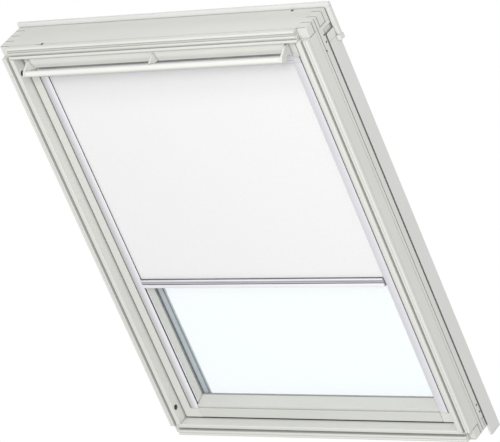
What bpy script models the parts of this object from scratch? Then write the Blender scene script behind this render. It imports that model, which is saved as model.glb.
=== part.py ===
"""A centre-pivot roof window with a roller blind in its sash, drawn upright.

X runs across the window, +Y from the room to the sky and +Z up the roof's slope. The origin is the middle of
the frame's lower outer face. Depths are counted from the frame's room-side face towards the sky, and insets
from a member's outer face towards the middle of the window.
"""

import math

import bmesh
import bpy
from mathutils import Vector

MM = 0.001
SIDES = (("left", -1), ("right", 1))

# Clearance between pieces that touch, and of a shaft in its bore
SEAT = 0.3 * MM
RUNNING = 0.06 * MM

# Frame
WIDTH = 780 * MM
HEIGHT = 978 * MM
DEPTH = 92 * MM
SIDE_FACE = 29 * MM
TOP_FACE = 26 * MM
BOTTOM_FACE = 29 * MM
SIDE_BEAD = 11 * MM
TOP_BEAD = 6.5 * MM
BOTTOM_BEAD = 9.5 * MM
SIDE_STRIP = 11 * MM
TOP_STRIP = 10.5 * MM
BOTTOM_STRIP = 13 * MM
STRIP_THICKNESS = 9 * MM
TOP_FRONT_SETBACK = 23.5 * MM
BOTTOM_FRONT_SETBACK = 15 * MM
LINING_GROOVE = 9 * MM
BEAD_ROUND = 1.8 * MM
STRIP_ROUND = 3.5 * MM
STRIP_COVE_FROM = 3.8 * MM
STRIP_COVE_TO = 8 * MM
STRIP_COVE_DEPTH = 2.2 * MM
STRIP_LIP_BACK = 0.5 * MM
EDGE_ROUND = 1 * MM
FINGER_LENGTH = 23.5 * MM
FINGER_START = 12.5 * MM
FINGER_WIDTH = 19.8 * MM
FINGER_LINE = 0.6 * MM
KERF_DEPTH_FROM_ROOM = 42 * MM
KERF_WIDTH = 1.5 * MM
KERF_CUT = 3.5 * MM
SCORE_DEPTH_FROM_ROOM = 34.5 * MM
SCORE = 0.6 * MM
COVER_REBATE = 3 * MM
COVER_REBATE_BELOW_TOP = 33 * MM
REBATE_DEPTH_FROM_ROOM = 57 * MM

# Covers on the frame's outside
SIDE_COVER_DEPTH = 60.5 * MM
SIDE_COVER_PROUD = 2.5 * MM
SIDE_COVER_BELOW_TOP = 44.5 * MM
SIDE_COVER_OVERHANG = 24 * MM
SIDE_COVER_CORNER = 6 * MM
COVER_SHEET = 1.5 * MM
COVER_FLANGE = 16 * MM
COVER_SEAM = 0.6 * MM
TOP_COVER_DEPTH = 86 * MM
TOP_COVER_HEIGHT = 9.5 * MM
TOP_COVER_BREADTH = 7.8 * MM
TOP_COVER_SIDES = {"left": 3 * MM, "right": 11 * MM}
RETURN_LENGTH = 62 * MM
RETURN_BLOCK = 10 * MM
RETURN_BLOCK_PROUD = 1.5 * MM

# Sash
SASH_GAP = 2.5 * MM
SASH_DEPTH = 26 * MM
SASH_SIDE = 44.5 * MM
SASH_TOP = 22 * MM
SASH_BOTTOM_FACE = 23 * MM
SASH_BOTTOM = 40 * MM
SASH_STEP = 1.5 * MM
SASH_STEP_GROOVE = 2.5 * MM
SASH_SILL = 9 * MM
SASH_EDGE = 1.5 * MM
GLASS_BITE = 9 * MM
GLASS_BITE_BOTTOM = 21 * MM
PANE = 4 * MM
PANE_SPACE = 13 * MM
SPACER_WIDTH = 9.5 * MM
GLAZING_GASKET = 2.5 * MM
REVEAL_DEPTH = 27.2 * MM
SASH_COVER = 4 * MM
COVER_LAP_BELOW = 2 * MM

# Pivot, halfway up the opening
PIVOT_DEPTH = 54 * MM
PIVOT_PIN = 6 * MM
PIVOT_PIN_LENGTH = 17 * MM
PIVOT_BUSH_WALL = 4 * MM
PIVOT_PLATE = (34 * MM, 70 * MM)
PIVOT_PLATE_THICKNESS = 3 * MM

# Frame gaskets in the gap round the sash
GASKET_DEPTH = 68 * MM
GASKET_BREADTH = 6 * MM
GASKET_SASH_CLEAR = 0.4 * MM
GASKET_RAIL = 0.9 * MM
GASKET_FROM_PIVOT = 45 * MM

# Bolt sockets in the frame's reveal
SOCKET_DEPTH = 11 * MM
SOCKET_FROM_OPENING_END = 38.5 * MM
SOCKET_RADIUS = 5.7 * MM
SOCKET_HOLE = 4 * MM
SOCKET_LENGTH = 7.5 * MM
SOCKET_RECESS = 6.5 * MM

# Lock at the top of the sash
LOCK_CASE = (90 * MM, 20 * MM, 14 * MM)
LOCK_DEPTH = 40 * MM
LATCH = (16 * MM, 8 * MM)
LATCH_CLEAR = 0.7 * MM
LATCH_LENGTH = 8.5 * MM
LATCH_TRAVEL = 6 * MM
LATCH_RUNNING = 0.35 * MM
STRIKE = (70 * MM, 24 * MM, 2 * MM)

# Ventilation flap, its brackets and the control bar
FLAP_DEPTH = 9 * MM
FLAP_BACK = 24.5 * MM
FLAP_HEIGHT = 25 * MM
FLAP_ROLL_BACK = 5 * MM
FLAP_TOP_CLEAR = 4.5 * MM
FLAP_INSET = 33 * MM
BRACKET_THICKNESS = 5 * MM
BRACKET_DROP = 3.5 * MM
MIDDLE_BRACKET = 4 * MM
BRACKET_LOBE = 3.6 * MM
FLAP_AXIS_DEPTH = 21 * MM
FLAP_AXIS_BELOW = 27 * MM
FLAP_PIN = 2 * MM
FLAP_BEARING = (6 * MM, 4.4 * MM)
BAR_DEPTH = -12.5 * MM
BAR_BELOW = 23 * MM
BAR_WIDTH = 15 * MM
BAR_THICKNESS = 12.5 * MM
BAR_TILT = math.radians(-34)

# Roller blind
CHANNEL_INSET = 0.5 * MM
CHANNEL_WIDTH = 19.5 * MM
CHANNEL_DEPTH = 8.5 * MM
CHANNEL_SIDE_GAP = 3 * MM
CHANNEL_SLOT = 2.4 * MM
CHANNEL_SLOT_CUT = 18 * MM
CHANNEL_LIP = 3.4 * MM
FABRIC = 0.6 * MM
FABRIC_BITE = 4.4 * MM
CASING_HEIGHT = 33.5 * MM
CASING_BREADTH = 26 * MM
CASING_SHEET = 1.5 * MM
CASING_MOUTH = 9 * MM
CASING_END = 4 * MM
CASING_GROOVE = 0.6 * MM
ROLLER_TUBE = 7.5 * MM
ROLLER_BORE = 6.3 * MM
ROLLER_WOUND = 9.2 * MM
ROLLER_BELOW = 17 * MM
ROLLER_PIN = 2.5 * MM
ROLLER_PLUG = 18 * MM
BLIND_BAR_ABOVE_BOTTOM = 369.5 * MM
BLIND_BAR_HEIGHT = 18.5 * MM
BLIND_BAR_DEPTH = 23.5 * MM
BLIND_BAR_BREADTH = 13 * MM
BLIND_BAR_CLEAR = 1.5 * MM
SHOE_HEIGHT = 34 * MM
SHOE_REACH = 14 * MM

# Places that follow from these sizes
HALF = WIDTH / 2
OPENING_HALF = HALF - SIDE_FACE
OPENING_LOW = BOTTOM_FACE
OPENING_HIGH = HEIGHT - TOP_FACE
SASH_HALF = OPENING_HALF - SASH_GAP
SASH_LOW = OPENING_LOW + SASH_GAP
SASH_HIGH = OPENING_HIGH - SASH_GAP
PIVOT_HEIGHT = (OPENING_LOW + OPENING_HIGH) / 2
REVEAL_HALF = SASH_HALF - SASH_SIDE
REVEAL_LOW = SASH_LOW + SASH_BOTTOM
REVEAL_HIGH = SASH_HIGH - SASH_TOP
SHOULDER = SASH_DEPTH + REVEAL_DEPTH
PANE_FRONT = SHOULDER + 2 * SEAT + GLAZING_GASKET
SPACER_FRONT = PANE_FRONT + PANE + SEAT
OUTER_PANE_FRONT = SPACER_FRONT + PANE_SPACE + SEAT
SASH_BACK = OUTER_PANE_FRONT + PANE
CHANNEL_HALF = REVEAL_HALF + CHANNEL_INSET
CHANNEL_FRONT = SASH_DEPTH + SEAT
FABRIC_DEPTH = CHANNEL_FRONT + CHANNEL_LIP + CHANNEL_SLOT / 2
FABRIC_HALF = CHANNEL_HALF + FABRIC_BITE
CASING_HALF = FABRIC_HALF + SEAT
CASING_END_HALF = CASING_HALF + SEAT + CASING_END
CHANNEL_BACK = CHANNEL_FRONT + CHANNEL_DEPTH
CASING_HIGH = REVEAL_HIGH - SEAT
CASING_LOW = CASING_HIGH - CASING_HEIGHT
CHANNEL_LOW = SASH_LOW + SASH_BOTTOM_FACE - SEAT
ROLLER_DEPTH = FABRIC_DEPTH + ROLLER_WOUND + FABRIC / 2 + SEAT
ROLLER_HEIGHT = CASING_HIGH - ROLLER_BELOW
BLIND_BAR_LOW = BLIND_BAR_ABOVE_BOTTOM
FLAP_HIGH = OPENING_HIGH - FLAP_TOP_CLEAR
FLAP_BOTTOM = FLAP_HIGH - FLAP_HEIGHT
FLAP_HALF = SASH_HALF - FLAP_INSET
FLAP_AXIS_HEIGHT = FLAP_HIGH - FLAP_AXIS_BELOW
BRACKET_OUTER = FLAP_HALF + SEAT + BRACKET_THICKNESS

# Colour, roughness and metallic value of each finish
PAINTS = {
    "white_wood": ((0.80, 0.80, 0.77), 0.45, 0.0),
    "white_metal": ((0.86, 0.86, 0.85), 0.35, 0.2),
    "white_plastic": ((0.86, 0.86, 0.84), 0.4, 0.0),
    "pale_aluminium": ((0.72, 0.71, 0.78), 0.35, 0.6),
    "steel": ((0.6, 0.6, 0.6), 0.3, 1.0),
    "brass": ((0.7, 0.55, 0.3), 0.35, 1.0),
    "black_rubber": ((0.05, 0.05, 0.05), 0.8, 0.0),
    "dark_plastic": ((0.08, 0.08, 0.08), 0.6, 0.0),
    "blind_fabric": ((0.92, 0.92, 0.92), 0.9, 0.0),
    "glass": ((0.85, 0.93, 0.97), 0.05, 0.0),
    "spacer": ((0.55, 0.6, 0.63), 0.4, 0.5),
}


def clear_scene():
    for obj in list(bpy.data.objects):
        bpy.data.objects.remove(obj)


def paint(name):
    """The material of this finish, made once."""
    if name in bpy.data.materials:
        return bpy.data.materials[name]
    colour, roughness, metallic = PAINTS[name]
    material = bpy.data.materials.new(name)
    material.use_nodes = True
    shader = material.node_tree.nodes["Principled BSDF"]
    shader.inputs["Base Color"].default_value = (*colour, 1)
    shader.inputs["Roughness"].default_value = roughness
    shader.inputs["Metallic"].default_value = metallic
    return material


def at_depth(depth):
    """The Y of a place this far behind the frame's room-side face."""
    return depth - DEPTH / 2


def filleted(corners, steps=3):
    """An outline whose corners (first, second, radius) are rounded by arcs."""
    outline = []
    for index, (first, second, radius) in enumerate(corners):
        here = Vector((first, second))
        if not radius:
            outline.append((first, second))
            continue
        to_last = (Vector(corners[index - 1][:2]) - here).normalized()
        to_next = (Vector(corners[(index + 1) % len(corners)][:2]) - here).normalized()
        half = to_last.angle(to_next) / 2
        centre = here + (to_last + to_next).normalized() * radius / math.sin(half)
        start = here + to_last * radius / math.tan(half) - centre
        end = here + to_next * radius / math.tan(half) - centre
        turn = math.atan2(start.cross(end), start.dot(end))
        for step in range(steps + 1):
            angle = math.atan2(start.y, start.x) + turn * step / steps
            outline.append((centre.x + radius * math.cos(angle), centre.y + radius * math.sin(angle)))
    return outline


def circle(first, second, radius, count):
    """A round outline about a centre."""
    angles = [math.tau * (index + 0.5) / count for index in range(count)]
    return [(first + radius * math.cos(a), second + radius * math.sin(a)) for a in angles]


def rectangle(first_low, first_high, second_low, second_high):
    return [
        (first_low, second_low),
        (first_high, second_low),
        (first_high, second_high),
        (first_low, second_high),
    ]


def make_object(name, mesh, finish=None, smooth=False):
    """An object from a bmesh; without a finish it is a cutter, shown as wires and not rendered."""
    bmesh.ops.recalc_face_normals(mesh, faces=mesh.faces)
    data = bpy.data.meshes.new(name)
    mesh.to_mesh(data)
    mesh.free()
    obj = bpy.data.objects.new(name, data)
    bpy.context.scene.collection.objects.link(obj)
    if smooth:
        data.shade_smooth()
        data.set_sharp_from_angle(angle=math.radians(30))
    if finish:
        data.materials.append(paint(finish))
    else:
        obj.hide_render = True
        obj.display_type = "WIRE"
    return obj


def extruded(name, outline, axis, low, high, finish=None, smooth=False):
    """A straight length of one section, whose outline gives the two other axes in their order."""
    along = "XYZ".index(axis)
    across = [index for index in range(3) if index != along]

    def place(point, distance):
        spot = [0.0, 0.0, 0.0]
        spot[along] = distance
        spot[across[0]], spot[across[1]] = point
        return spot

    mesh = bmesh.new()
    end = mesh.faces.new([mesh.verts.new(place(point, low)) for point in outline])
    made = bmesh.ops.extrude_face_region(mesh, geom=[end])["geom"]
    moved = [item for item in made if isinstance(item, bmesh.types.BMVert)]
    bmesh.ops.translate(mesh, verts=moved, vec=place((0, 0), high - low))
    return make_object(name, mesh, finish, smooth)


def box(name, x_span, depth_span, z_span, finish=None):
    """A block between two places on each axis, its middle span counted as depths."""
    outline = rectangle(*sorted(x_span), *sorted(at_depth(depth) for depth in depth_span))
    return extruded(name, outline, "Z", min(z_span), max(z_span), finish)


def rod_along_x(name, depth, height, radius, x_span, finish=None, count=32):
    outline = circle(at_depth(depth), height, radius, count)
    return extruded(name, outline, "X", min(x_span), max(x_span), finish, smooth=True)


def combine(target, other, operation):
    step = target.modifiers.new(operation.title(), "BOOLEAN")
    step.operation = operation
    step.solver = "EXACT"
    step.object = other
    other.hide_render = True
    other.display_type = "WIRE"
    return target


def cut(target, cutter):
    return combine(target, cutter, "DIFFERENCE")


def join(target, other):
    return combine(target, other, "UNION")


def framed(name, outer, inner, depth_span, finish):
    """A flat ring between an outer and an inner rectangle (x_half, z_low, z_high)."""
    front, back = (at_depth(depth) for depth in depth_span)
    outline = rectangle(-outer[0], outer[0], outer[1], outer[2])
    ring = extruded(name, outline, "Y", front, back, finish)
    hole = rectangle(-inner[0], inner[0], inner[1], inner[2])
    return cut(ring, extruded(name + "_hole", hole, "Y", front - 5 * MM, back + 5 * MM))


def joint_at(name, depth, height, parent=None):
    """An empty on a joint's axis, which carries the pieces that move with it."""
    empty = bpy.data.objects.new(name, None)
    bpy.context.scene.collection.objects.link(empty)
    place = Vector((0, at_depth(depth), height))
    empty["place"] = place
    empty.parent = parent
    empty.location = place - Vector(parent["place"]) if parent else place
    return empty


def hang(pieces, carrier):
    """Puts each piece's origin on its carrier's axis, and leaves the piece where it is."""
    for piece in pieces:
        piece.data.transform(piece.matrix_basis)
        for vertex in piece.data.vertices:
            vertex.co -= Vector(carrier["place"])
        piece.parent = carrier


def finger_spans():
    """Depths between which the side members' fingers lie, and those of the rails."""
    edges = []
    depth = FINGER_START
    while depth < DEPTH - FINGER_WIDTH / 2:
        edges.append(depth)
        depth += FINGER_WIDTH
    edges = [-FINGER_WIDTH] + edges + [DEPTH + FINGER_WIDTH]
    spans = list(zip(edges, edges[1:]))
    return spans[1::2], spans[0::2]


def member_corners(face, bead, strip):
    """Section of a frame member as (inset, depth, radius): inner bead, lining groove, strip seat and back."""
    strip_seat = STRIP_THICKNESS + SEAT
    return [
        (face, 0, BEAD_ROUND),
        (face - bead, 0, bead / 3),
        (face - bead, LINING_GROOVE, 0),
        (strip + SEAT, LINING_GROOVE, 0),
        (strip + SEAT, strip_seat, 0),
        (0, strip_seat, 0),
        (0, DEPTH, EDGE_ROUND),
        (face, DEPTH, EDGE_ROUND),
    ]


def cut_outer_side(member, label, side):
    """Cuts the score, the kerf and the cover's rebate down the frame's side and past the corner joints."""
    past = 10 * MM
    outer = side * (HALF + past)
    whole = (-past, HEIGHT + past)
    kerf_depths = (KERF_DEPTH_FROM_ROOM, KERF_DEPTH_FROM_ROOM + KERF_WIDTH)
    cut(member, box(label + "_kerf", (side * (HALF - KERF_CUT), outer), kerf_depths, whole))
    score_depths = (SCORE_DEPTH_FROM_ROOM, SCORE_DEPTH_FROM_ROOM + SCORE)
    cut(member, box(label + "_score", (side * (HALF - SCORE), outer), score_depths, whole))
    rebate = (side * (HALF - COVER_REBATE), outer)
    level = (-past, HEIGHT - COVER_REBATE_BELOW_TOP)
    cut(member, box(label + "_rebate", rebate, (REBATE_DEPTH_FROM_ROOM, DEPTH + past), level))


def side_outline(corners, side):
    """Turns (inset, depth, radius) corners into a rounded outline in X and Y on one side."""
    return filleted([(side * (HALF - inset), at_depth(depth), radius) for inset, depth, radius in corners])


def rail_outline(corners, top):
    """Turns (inset, depth, radius) corners into a rounded outline in Y and Z at the top or the bottom."""
    placed = []
    for inset, depth, radius in corners:
        placed.append((at_depth(depth), HEIGHT - inset if top else inset, radius))
    return filleted(placed)


def build_frame_side(label, side):
    """A side member with its fingers, cover rebate, pivot plate pocket and bolt socket holes."""
    corners = member_corners(SIDE_FACE, SIDE_BEAD, SIDE_STRIP)
    member = extruded("frame_" + label, side_outline(corners, side), "Z", 0, HEIGHT, "white_wood")
    past = 10 * MM
    outer = side * (HALF + past)
    shoulder = side * (HALF - FINGER_LENGTH + SEAT)
    inner = side * (OPENING_HALF - past)
    whole_depth = (-past, DEPTH + past)
    for top, face in ((True, TOP_FACE), (False, BOTTOM_FACE)):
        level = (HEIGHT - face - SEAT, HEIGHT + past) if top else (-past, face + SEAT)
        cut(member, box(f"{label}_shoulder_{top}", (shoulder, inner), whole_depth, level))
        reach = FINGER_LENGTH + SEAT
        level = (HEIGHT - reach, HEIGHT + past) if top else (-past, reach)
        for number, (start, end) in enumerate(finger_spans()[1]):
            span = (start - FINGER_LINE / 2, end + FINGER_LINE / 2)
            cut(member, box(f"{label}_socket_{top}_{number}", (shoulder - side * past, outer), span, level))
    cut_outer_side(member, label, side)
    pocket = PIVOT_PLATE_THICKNESS + SEAT
    half_plate = [size / 2 + SEAT for size in PIVOT_PLATE]
    pocket_span = (side * (OPENING_HALF + pocket), inner)
    pocket_depth = (PIVOT_DEPTH - half_plate[0], PIVOT_DEPTH + half_plate[0])
    pocket_level = (PIVOT_HEIGHT - half_plate[1], PIVOT_HEIGHT + half_plate[1])
    cut(member, box(label + "_pocket", pocket_span, pocket_depth, pocket_level))
    for height in socket_heights():
        hole_span = (side * (OPENING_HALF + SOCKET_LENGTH + SEAT), inner)
        name = f"{label}_bolt_hole_{height:.2f}"
        cut(member, rod_along_x(name, SOCKET_DEPTH, height, SOCKET_RADIUS + SEAT, hole_span, count=16))
    return member


def socket_heights():
    return OPENING_LOW + SOCKET_FROM_OPENING_END, OPENING_HIGH - SOCKET_FROM_OPENING_END


def build_frame_rail(label, top):
    """The top or bottom member, whose fingers fit between those of the side members."""
    face, bead, strip = (TOP_FACE, TOP_BEAD, TOP_STRIP) if top else (BOTTOM_FACE, BOTTOM_BEAD, BOTTOM_STRIP)
    outline = rail_outline(member_corners(face, bead, strip), top)
    rail = extruded("frame_" + label, outline, "X", -HALF, HALF, "white_wood")
    past = 10 * MM
    whole_level = (HEIGHT - face - past, HEIGHT + past) if top else (-past, face + past)
    under = (HEIGHT - face - past, HEIGHT - FINGER_LENGTH) if top else (FINGER_LENGTH, face + past)
    setback = TOP_FRONT_SETBACK if top else BOTTOM_FRONT_SETBACK
    for side_label, side in SIDES:
        ends = (side * (HALF - FINGER_LENGTH), side * (HALF + past))
        cut(rail, box(f"{label}_under_{side_label}", ends, (-past, DEPTH + past), under))
        front = (side * (HALF - setback), side * (HALF + past))
        cut(rail, box(f"{label}_front_{side_label}", front, (-past, FINGER_START), whole_level))
        for number, (start, end) in enumerate(finger_spans()[0]):
            span = (start - FINGER_LINE / 2, end + FINGER_LINE / 2)
            cut(rail, box(f"{label}_slot_{side_label}_{number}", ends, span, whole_level))
        cut_outer_side(rail, f"{label}_{side_label}", side)
    return rail


def build_strike(frame_top):
    """The strike plate let into the underside of the top member."""
    half_length, half_breadth = STRIKE[0] / 2, STRIKE[1] / 2
    level = (OPENING_HIGH - 5 * MM, OPENING_HIGH + STRIKE[2] + SEAT)
    depths = (LOCK_DEPTH - half_breadth - SEAT, LOCK_DEPTH + half_breadth + SEAT)
    cut(frame_top, box("strike_pocket", (-half_length - SEAT, half_length + SEAT), depths, level))
    depths = (LOCK_DEPTH - half_breadth, LOCK_DEPTH + half_breadth)
    level = (OPENING_HIGH, OPENING_HIGH + STRIKE[2])
    return box("strike_plate", (-half_length, half_length), depths, level, "steel")


def build_strips():
    """The mouldings along the frame's outer front edges, which stop short of the corners."""
    pieces = []

    def corners(width):
        return [
            (0, 0, STRIP_ROUND),
            (STRIP_COVE_FROM, 0, 0),
            (STRIP_COVE_FROM + STRIP_COVE_DEPTH, STRIP_COVE_DEPTH, 0),
            (STRIP_COVE_TO, STRIP_LIP_BACK, 0),
            (width, STRIP_LIP_BACK, STRIP_ROUND / 2),
            (width, STRIP_THICKNESS, 0),
            (0, STRIP_THICKNESS, 0),
        ]

    for label, side in SIDES:
        outline = side_outline(corners(SIDE_STRIP), side)
        span = (FINGER_LENGTH + SEAT, HEIGHT - FINGER_LENGTH - SEAT)
        pieces.append(extruded("front_strip_" + label, outline, "Z", *span, "white_wood"))
    for label, top, width in (("top", True, TOP_STRIP), ("bottom", False, BOTTOM_STRIP)):
        outline = rail_outline(corners(width), top)
        reach = HALF - (TOP_FRONT_SETBACK if top else BOTTOM_FRONT_SETBACK)
        pieces.append(extruded("front_strip_" + label, outline, "X", -reach, reach, "white_wood"))
    return pieces


def build_side_cover(label, side):
    """The white cover over the sky half of the frame's side, with a flange round its back."""
    high = HEIGHT - SIDE_COVER_BELOW_TOP
    back = DEPTH + SEAT + COVER_SHEET
    outline = filleted(
        [
            (at_depth(SIDE_COVER_DEPTH), -SIDE_COVER_OVERHANG, 0),
            (at_depth(back), -SIDE_COVER_OVERHANG, 0),
            (at_depth(back), high, 0),
            (at_depth(SIDE_COVER_DEPTH), high, SIDE_COVER_CORNER),
        ],
        steps=5,
    )
    seat = side * (HALF - COVER_REBATE + SEAT)
    skin_span = sorted((seat, side * (HALF + SIDE_COVER_PROUD)))
    skin = extruded("side_cover_" + label, outline, "X", *skin_span, "white_metal")
    flange_span = (side * (HALF - COVER_FLANGE), side * (HALF + SIDE_COVER_PROUD / 2))
    flange = box(label + "_flange", flange_span, (DEPTH + SEAT, back), (-SIDE_COVER_OVERHANG, high))
    join(skin, flange)
    seam_height = HEIGHT - RETURN_LENGTH
    seam_span = (side * (HALF + SIDE_COVER_PROUD - COVER_SEAM), side * (HALF + SIDE_COVER_PROUD + 5 * MM))
    seam_level = (seam_height - COVER_SEAM / 2, seam_height + COVER_SEAM / 2)
    return cut(skin, box(label + "_seam", seam_span, (0, TOP_COVER_DEPTH), seam_level))


def build_top_cover():
    """The capping along the top and its returns, of which only the right one passes the side cover."""
    back = TOP_COVER_DEPTH + TOP_COVER_BREADTH
    top = HEIGHT + TOP_COVER_HEIGHT
    outline = filleted(
        [
            (at_depth(TOP_COVER_DEPTH), HEIGHT + SEAT, 0),
            (at_depth(TOP_COVER_DEPTH), top, EDGE_ROUND),
            (at_depth(back), top, EDGE_ROUND),
            (at_depth(back), HEIGHT + SEAT, 0),
        ]
    )
    ends = [side * (HALF + TOP_COVER_SIDES[label]) for label, side in SIDES]
    pieces = [extruded("top_cover", outline, "X", *ends, "white_metal")]
    for (label, side), outer in zip(SIDES, ends):
        inner = side * (HALF + SEAT)
        beside = side * (HALF + SIDE_COVER_PROUD + SEAT)
        level = (HEIGHT - SIDE_COVER_BELOW_TOP + SEAT, HEIGHT)
        arm = box("cover_return_" + label, (inner, outer), (TOP_COVER_DEPTH, back), level, "white_metal")
        pieces.append(arm)
        if TOP_COVER_SIDES[label] < SIDE_COVER_PROUD + RETURN_BLOCK_PROUD:
            continue
        low = HEIGHT - RETURN_LENGTH
        arm_level = (low - SEAT, level[0] + 5 * MM)
        join(arm, box(label + "_arm", (beside, outer), (TOP_COVER_DEPTH, back), arm_level))
        block_span = (beside, outer + side * RETURN_BLOCK_PROUD)
        block_depth = (TOP_COVER_DEPTH - 4 * MM, back + RETURN_BLOCK_PROUD)
        join(arm, box(label + "_block", block_span, block_depth, (low - RETURN_BLOCK, low)))
    return pieces


def build_frame_gasket(label, upper):
    """A U of seal in the gap between frame and sash, from near the pivot round one end."""
    outer = OPENING_HALF - SEAT
    inner = SASH_HALF + GASKET_SASH_CLEAR
    span = (at_depth(GASKET_DEPTH), at_depth(GASKET_DEPTH + GASKET_BREADTH))
    if upper:
        start, end = PIVOT_HEIGHT + GASKET_FROM_PIVOT, OPENING_HIGH - SEAT
        rail = end - GASKET_RAIL
    else:
        start, end = PIVOT_HEIGHT - GASKET_FROM_PIVOT, OPENING_LOW + SEAT
        rail = end + GASKET_RAIL
    outline = [(-outer, start), (-outer, end), (outer, end), (outer, start)]
    outline += [(inner, start), (inner, rail), (-inner, rail), (-inner, start)]
    return extruded("frame_gasket_" + label, outline, "Y", *span, "black_rubber")


def build_pivot_frame_half(label, side):
    """The plate let into the frame's reveal, with the pin that carries the sash."""
    half_depth, half_height = (size / 2 for size in PIVOT_PLATE)
    outer = side * (OPENING_HALF + PIVOT_PLATE_THICKNESS)
    corners = [
        (at_depth(PIVOT_DEPTH) + a * half_depth, PIVOT_HEIGHT + b * half_height, EDGE_ROUND * 3)
        for a, b in ((-1, -1), (1, -1), (1, 1), (-1, 1))
    ]
    span = sorted((side * OPENING_HALF, outer))
    plate = extruded("pivot_plate_" + label, filleted(corners), "X", *span, "steel", smooth=True)
    reach = (side * (OPENING_HALF - PIVOT_PIN_LENGTH), side * (OPENING_HALF + PIVOT_PLATE_THICKNESS / 2))
    return join(plate, rod_along_x(label + "_pivot_pin", PIVOT_DEPTH, PIVOT_HEIGHT, PIVOT_PIN, reach))


def build_bolt_socket(name, side, height):
    """A dark cup in the frame's reveal, which takes the bolt that holds the sash turned over."""
    span = (side * OPENING_HALF, side * (OPENING_HALF + SOCKET_LENGTH))
    cup = rod_along_x(name, SOCKET_DEPTH, height, SOCKET_RADIUS, span, "dark_plastic", count=16)
    hollow = (side * (OPENING_HALF - 5 * MM), side * (OPENING_HALF + SOCKET_RECESS))
    return cut(cup, rod_along_x(name + "_hollow", SOCKET_DEPTH, height, SOCKET_HOLE, hollow, count=12))


def build_frame():
    pieces = [build_frame_side(label, side) for label, side in SIDES]
    frame_top = build_frame_rail("top", top=True)
    pieces += [frame_top, build_frame_rail("bottom", top=False), build_strike(frame_top)]
    pieces += build_strips()
    pieces += build_top_cover()
    pieces += [build_frame_gasket("upper", upper=True), build_frame_gasket("lower", upper=False)]
    for label, side in SIDES:
        pieces.append(build_side_cover(label, side))
        pieces.append(build_pivot_frame_half(label, side))
        for place, height in zip(("lower", "upper"), socket_heights()):
            pieces.append(build_bolt_socket(f"bolt_socket_{place}_{label}", side, height))
    return pieces


def build_sash_side(label, side):
    """A side of the sash, with seats for the blind's channel and casing and a rebate for the glass behind."""
    outer, reveal = side * SASH_HALF, side * REVEAL_HALF
    glass = side * (REVEAL_HALF + GLASS_BITE)
    corners = [
        (outer, at_depth(SASH_DEPTH), SASH_EDGE),
        (reveal, at_depth(SASH_DEPTH), EDGE_ROUND),
        (reveal, at_depth(SHOULDER), 0),
        (glass, at_depth(SHOULDER), 0),
        (glass, at_depth(SASH_BACK), 0),
        (outer, at_depth(SASH_BACK), 0),
    ]
    member = extruded("sash_" + label, filleted(corners), "Z", SASH_LOW, SASH_HIGH, "white_wood")
    past = 5 * MM
    channel = (reveal - side * past, side * (CHANNEL_HALF + CHANNEL_WIDTH + CHANNEL_SIDE_GAP))
    depths = (SASH_DEPTH - past, CHANNEL_BACK + SEAT)
    cut(member, box(label + "_channel_seat", channel, depths, (CHANNEL_LOW - SEAT, CASING_HIGH + SEAT)))
    casing = (reveal - side * past, side * (CASING_END_HALF + SEAT))
    depths = (SASH_DEPTH - past, CHANNEL_FRONT + CASING_BREADTH + SEAT)
    cut(member, box(label + "_casing_seat", casing, depths, (CASING_LOW - SEAT, CASING_HIGH + SEAT)))
    hole = (side * (SASH_HALF + past), side * (OPENING_HALF - PIVOT_PIN_LENGTH - SEAT))
    bush = PIVOT_PIN + RUNNING + PIVOT_BUSH_WALL
    cut(member, rod_along_x(label + "_bush_hole", PIVOT_DEPTH, PIVOT_HEIGHT, bush + SEAT, hole))
    return member


def build_sash_top():
    """The top of the sash, with the pocket for the lock case."""
    half = REVEAL_HALF - SEAT
    corners = [
        (SASH_DEPTH, REVEAL_HIGH, EDGE_ROUND),
        (SASH_DEPTH, SASH_HIGH, EDGE_ROUND),
        (SASH_BACK, SASH_HIGH, 0),
        (SASH_BACK, REVEAL_HIGH + GLASS_BITE, 0),
        (SHOULDER, REVEAL_HIGH + GLASS_BITE, 0),
        (SHOULDER, REVEAL_HIGH, 0),
    ]
    outline = filleted([(at_depth(depth), height, radius) for depth, height, radius in corners])
    member = extruded("sash_top", outline, "X", -half, half, "white_wood")
    half_length, half_breadth = LOCK_CASE[0] / 2 + SEAT, LOCK_CASE[1] / 2 + SEAT
    depths = (LOCK_DEPTH - half_breadth, LOCK_DEPTH + half_breadth)
    level = (SASH_HIGH - LOCK_CASE[2] - SEAT, SASH_HIGH + 5 * MM)
    return cut(member, box("lock_pocket", (-half_length, half_length), depths, level))


def build_sash_bottom():
    """The bottom of the sash: a face, a groove over it and a sill that slopes up to the glass."""
    half = REVEAL_HALF - SEAT
    face_top = SASH_LOW + SASH_BOTTOM_FACE
    corners = [
        (SASH_DEPTH, SASH_LOW, EDGE_ROUND),
        (SASH_DEPTH, face_top, EDGE_ROUND),
        (SASH_DEPTH + SASH_STEP_GROOVE, face_top, 0),
        (SASH_DEPTH + SASH_STEP_GROOVE, face_top + SASH_STEP_GROOVE, 0),
        (SASH_DEPTH + SASH_STEP, face_top + SASH_STEP_GROOVE, 0),
        (SASH_DEPTH + SASH_STEP, REVEAL_LOW - SASH_SILL, EDGE_ROUND),
        (SHOULDER, REVEAL_LOW, 0),
        (SHOULDER, REVEAL_LOW - GLASS_BITE_BOTTOM, 0),
        (SASH_BACK, REVEAL_LOW - GLASS_BITE_BOTTOM, 0),
        (SASH_BACK, SASH_LOW, 0),
    ]
    outline = filleted([(at_depth(depth), height, radius) for depth, height, radius in corners])
    return extruded("sash_bottom", outline, "X", -half, half, "white_wood")


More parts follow.
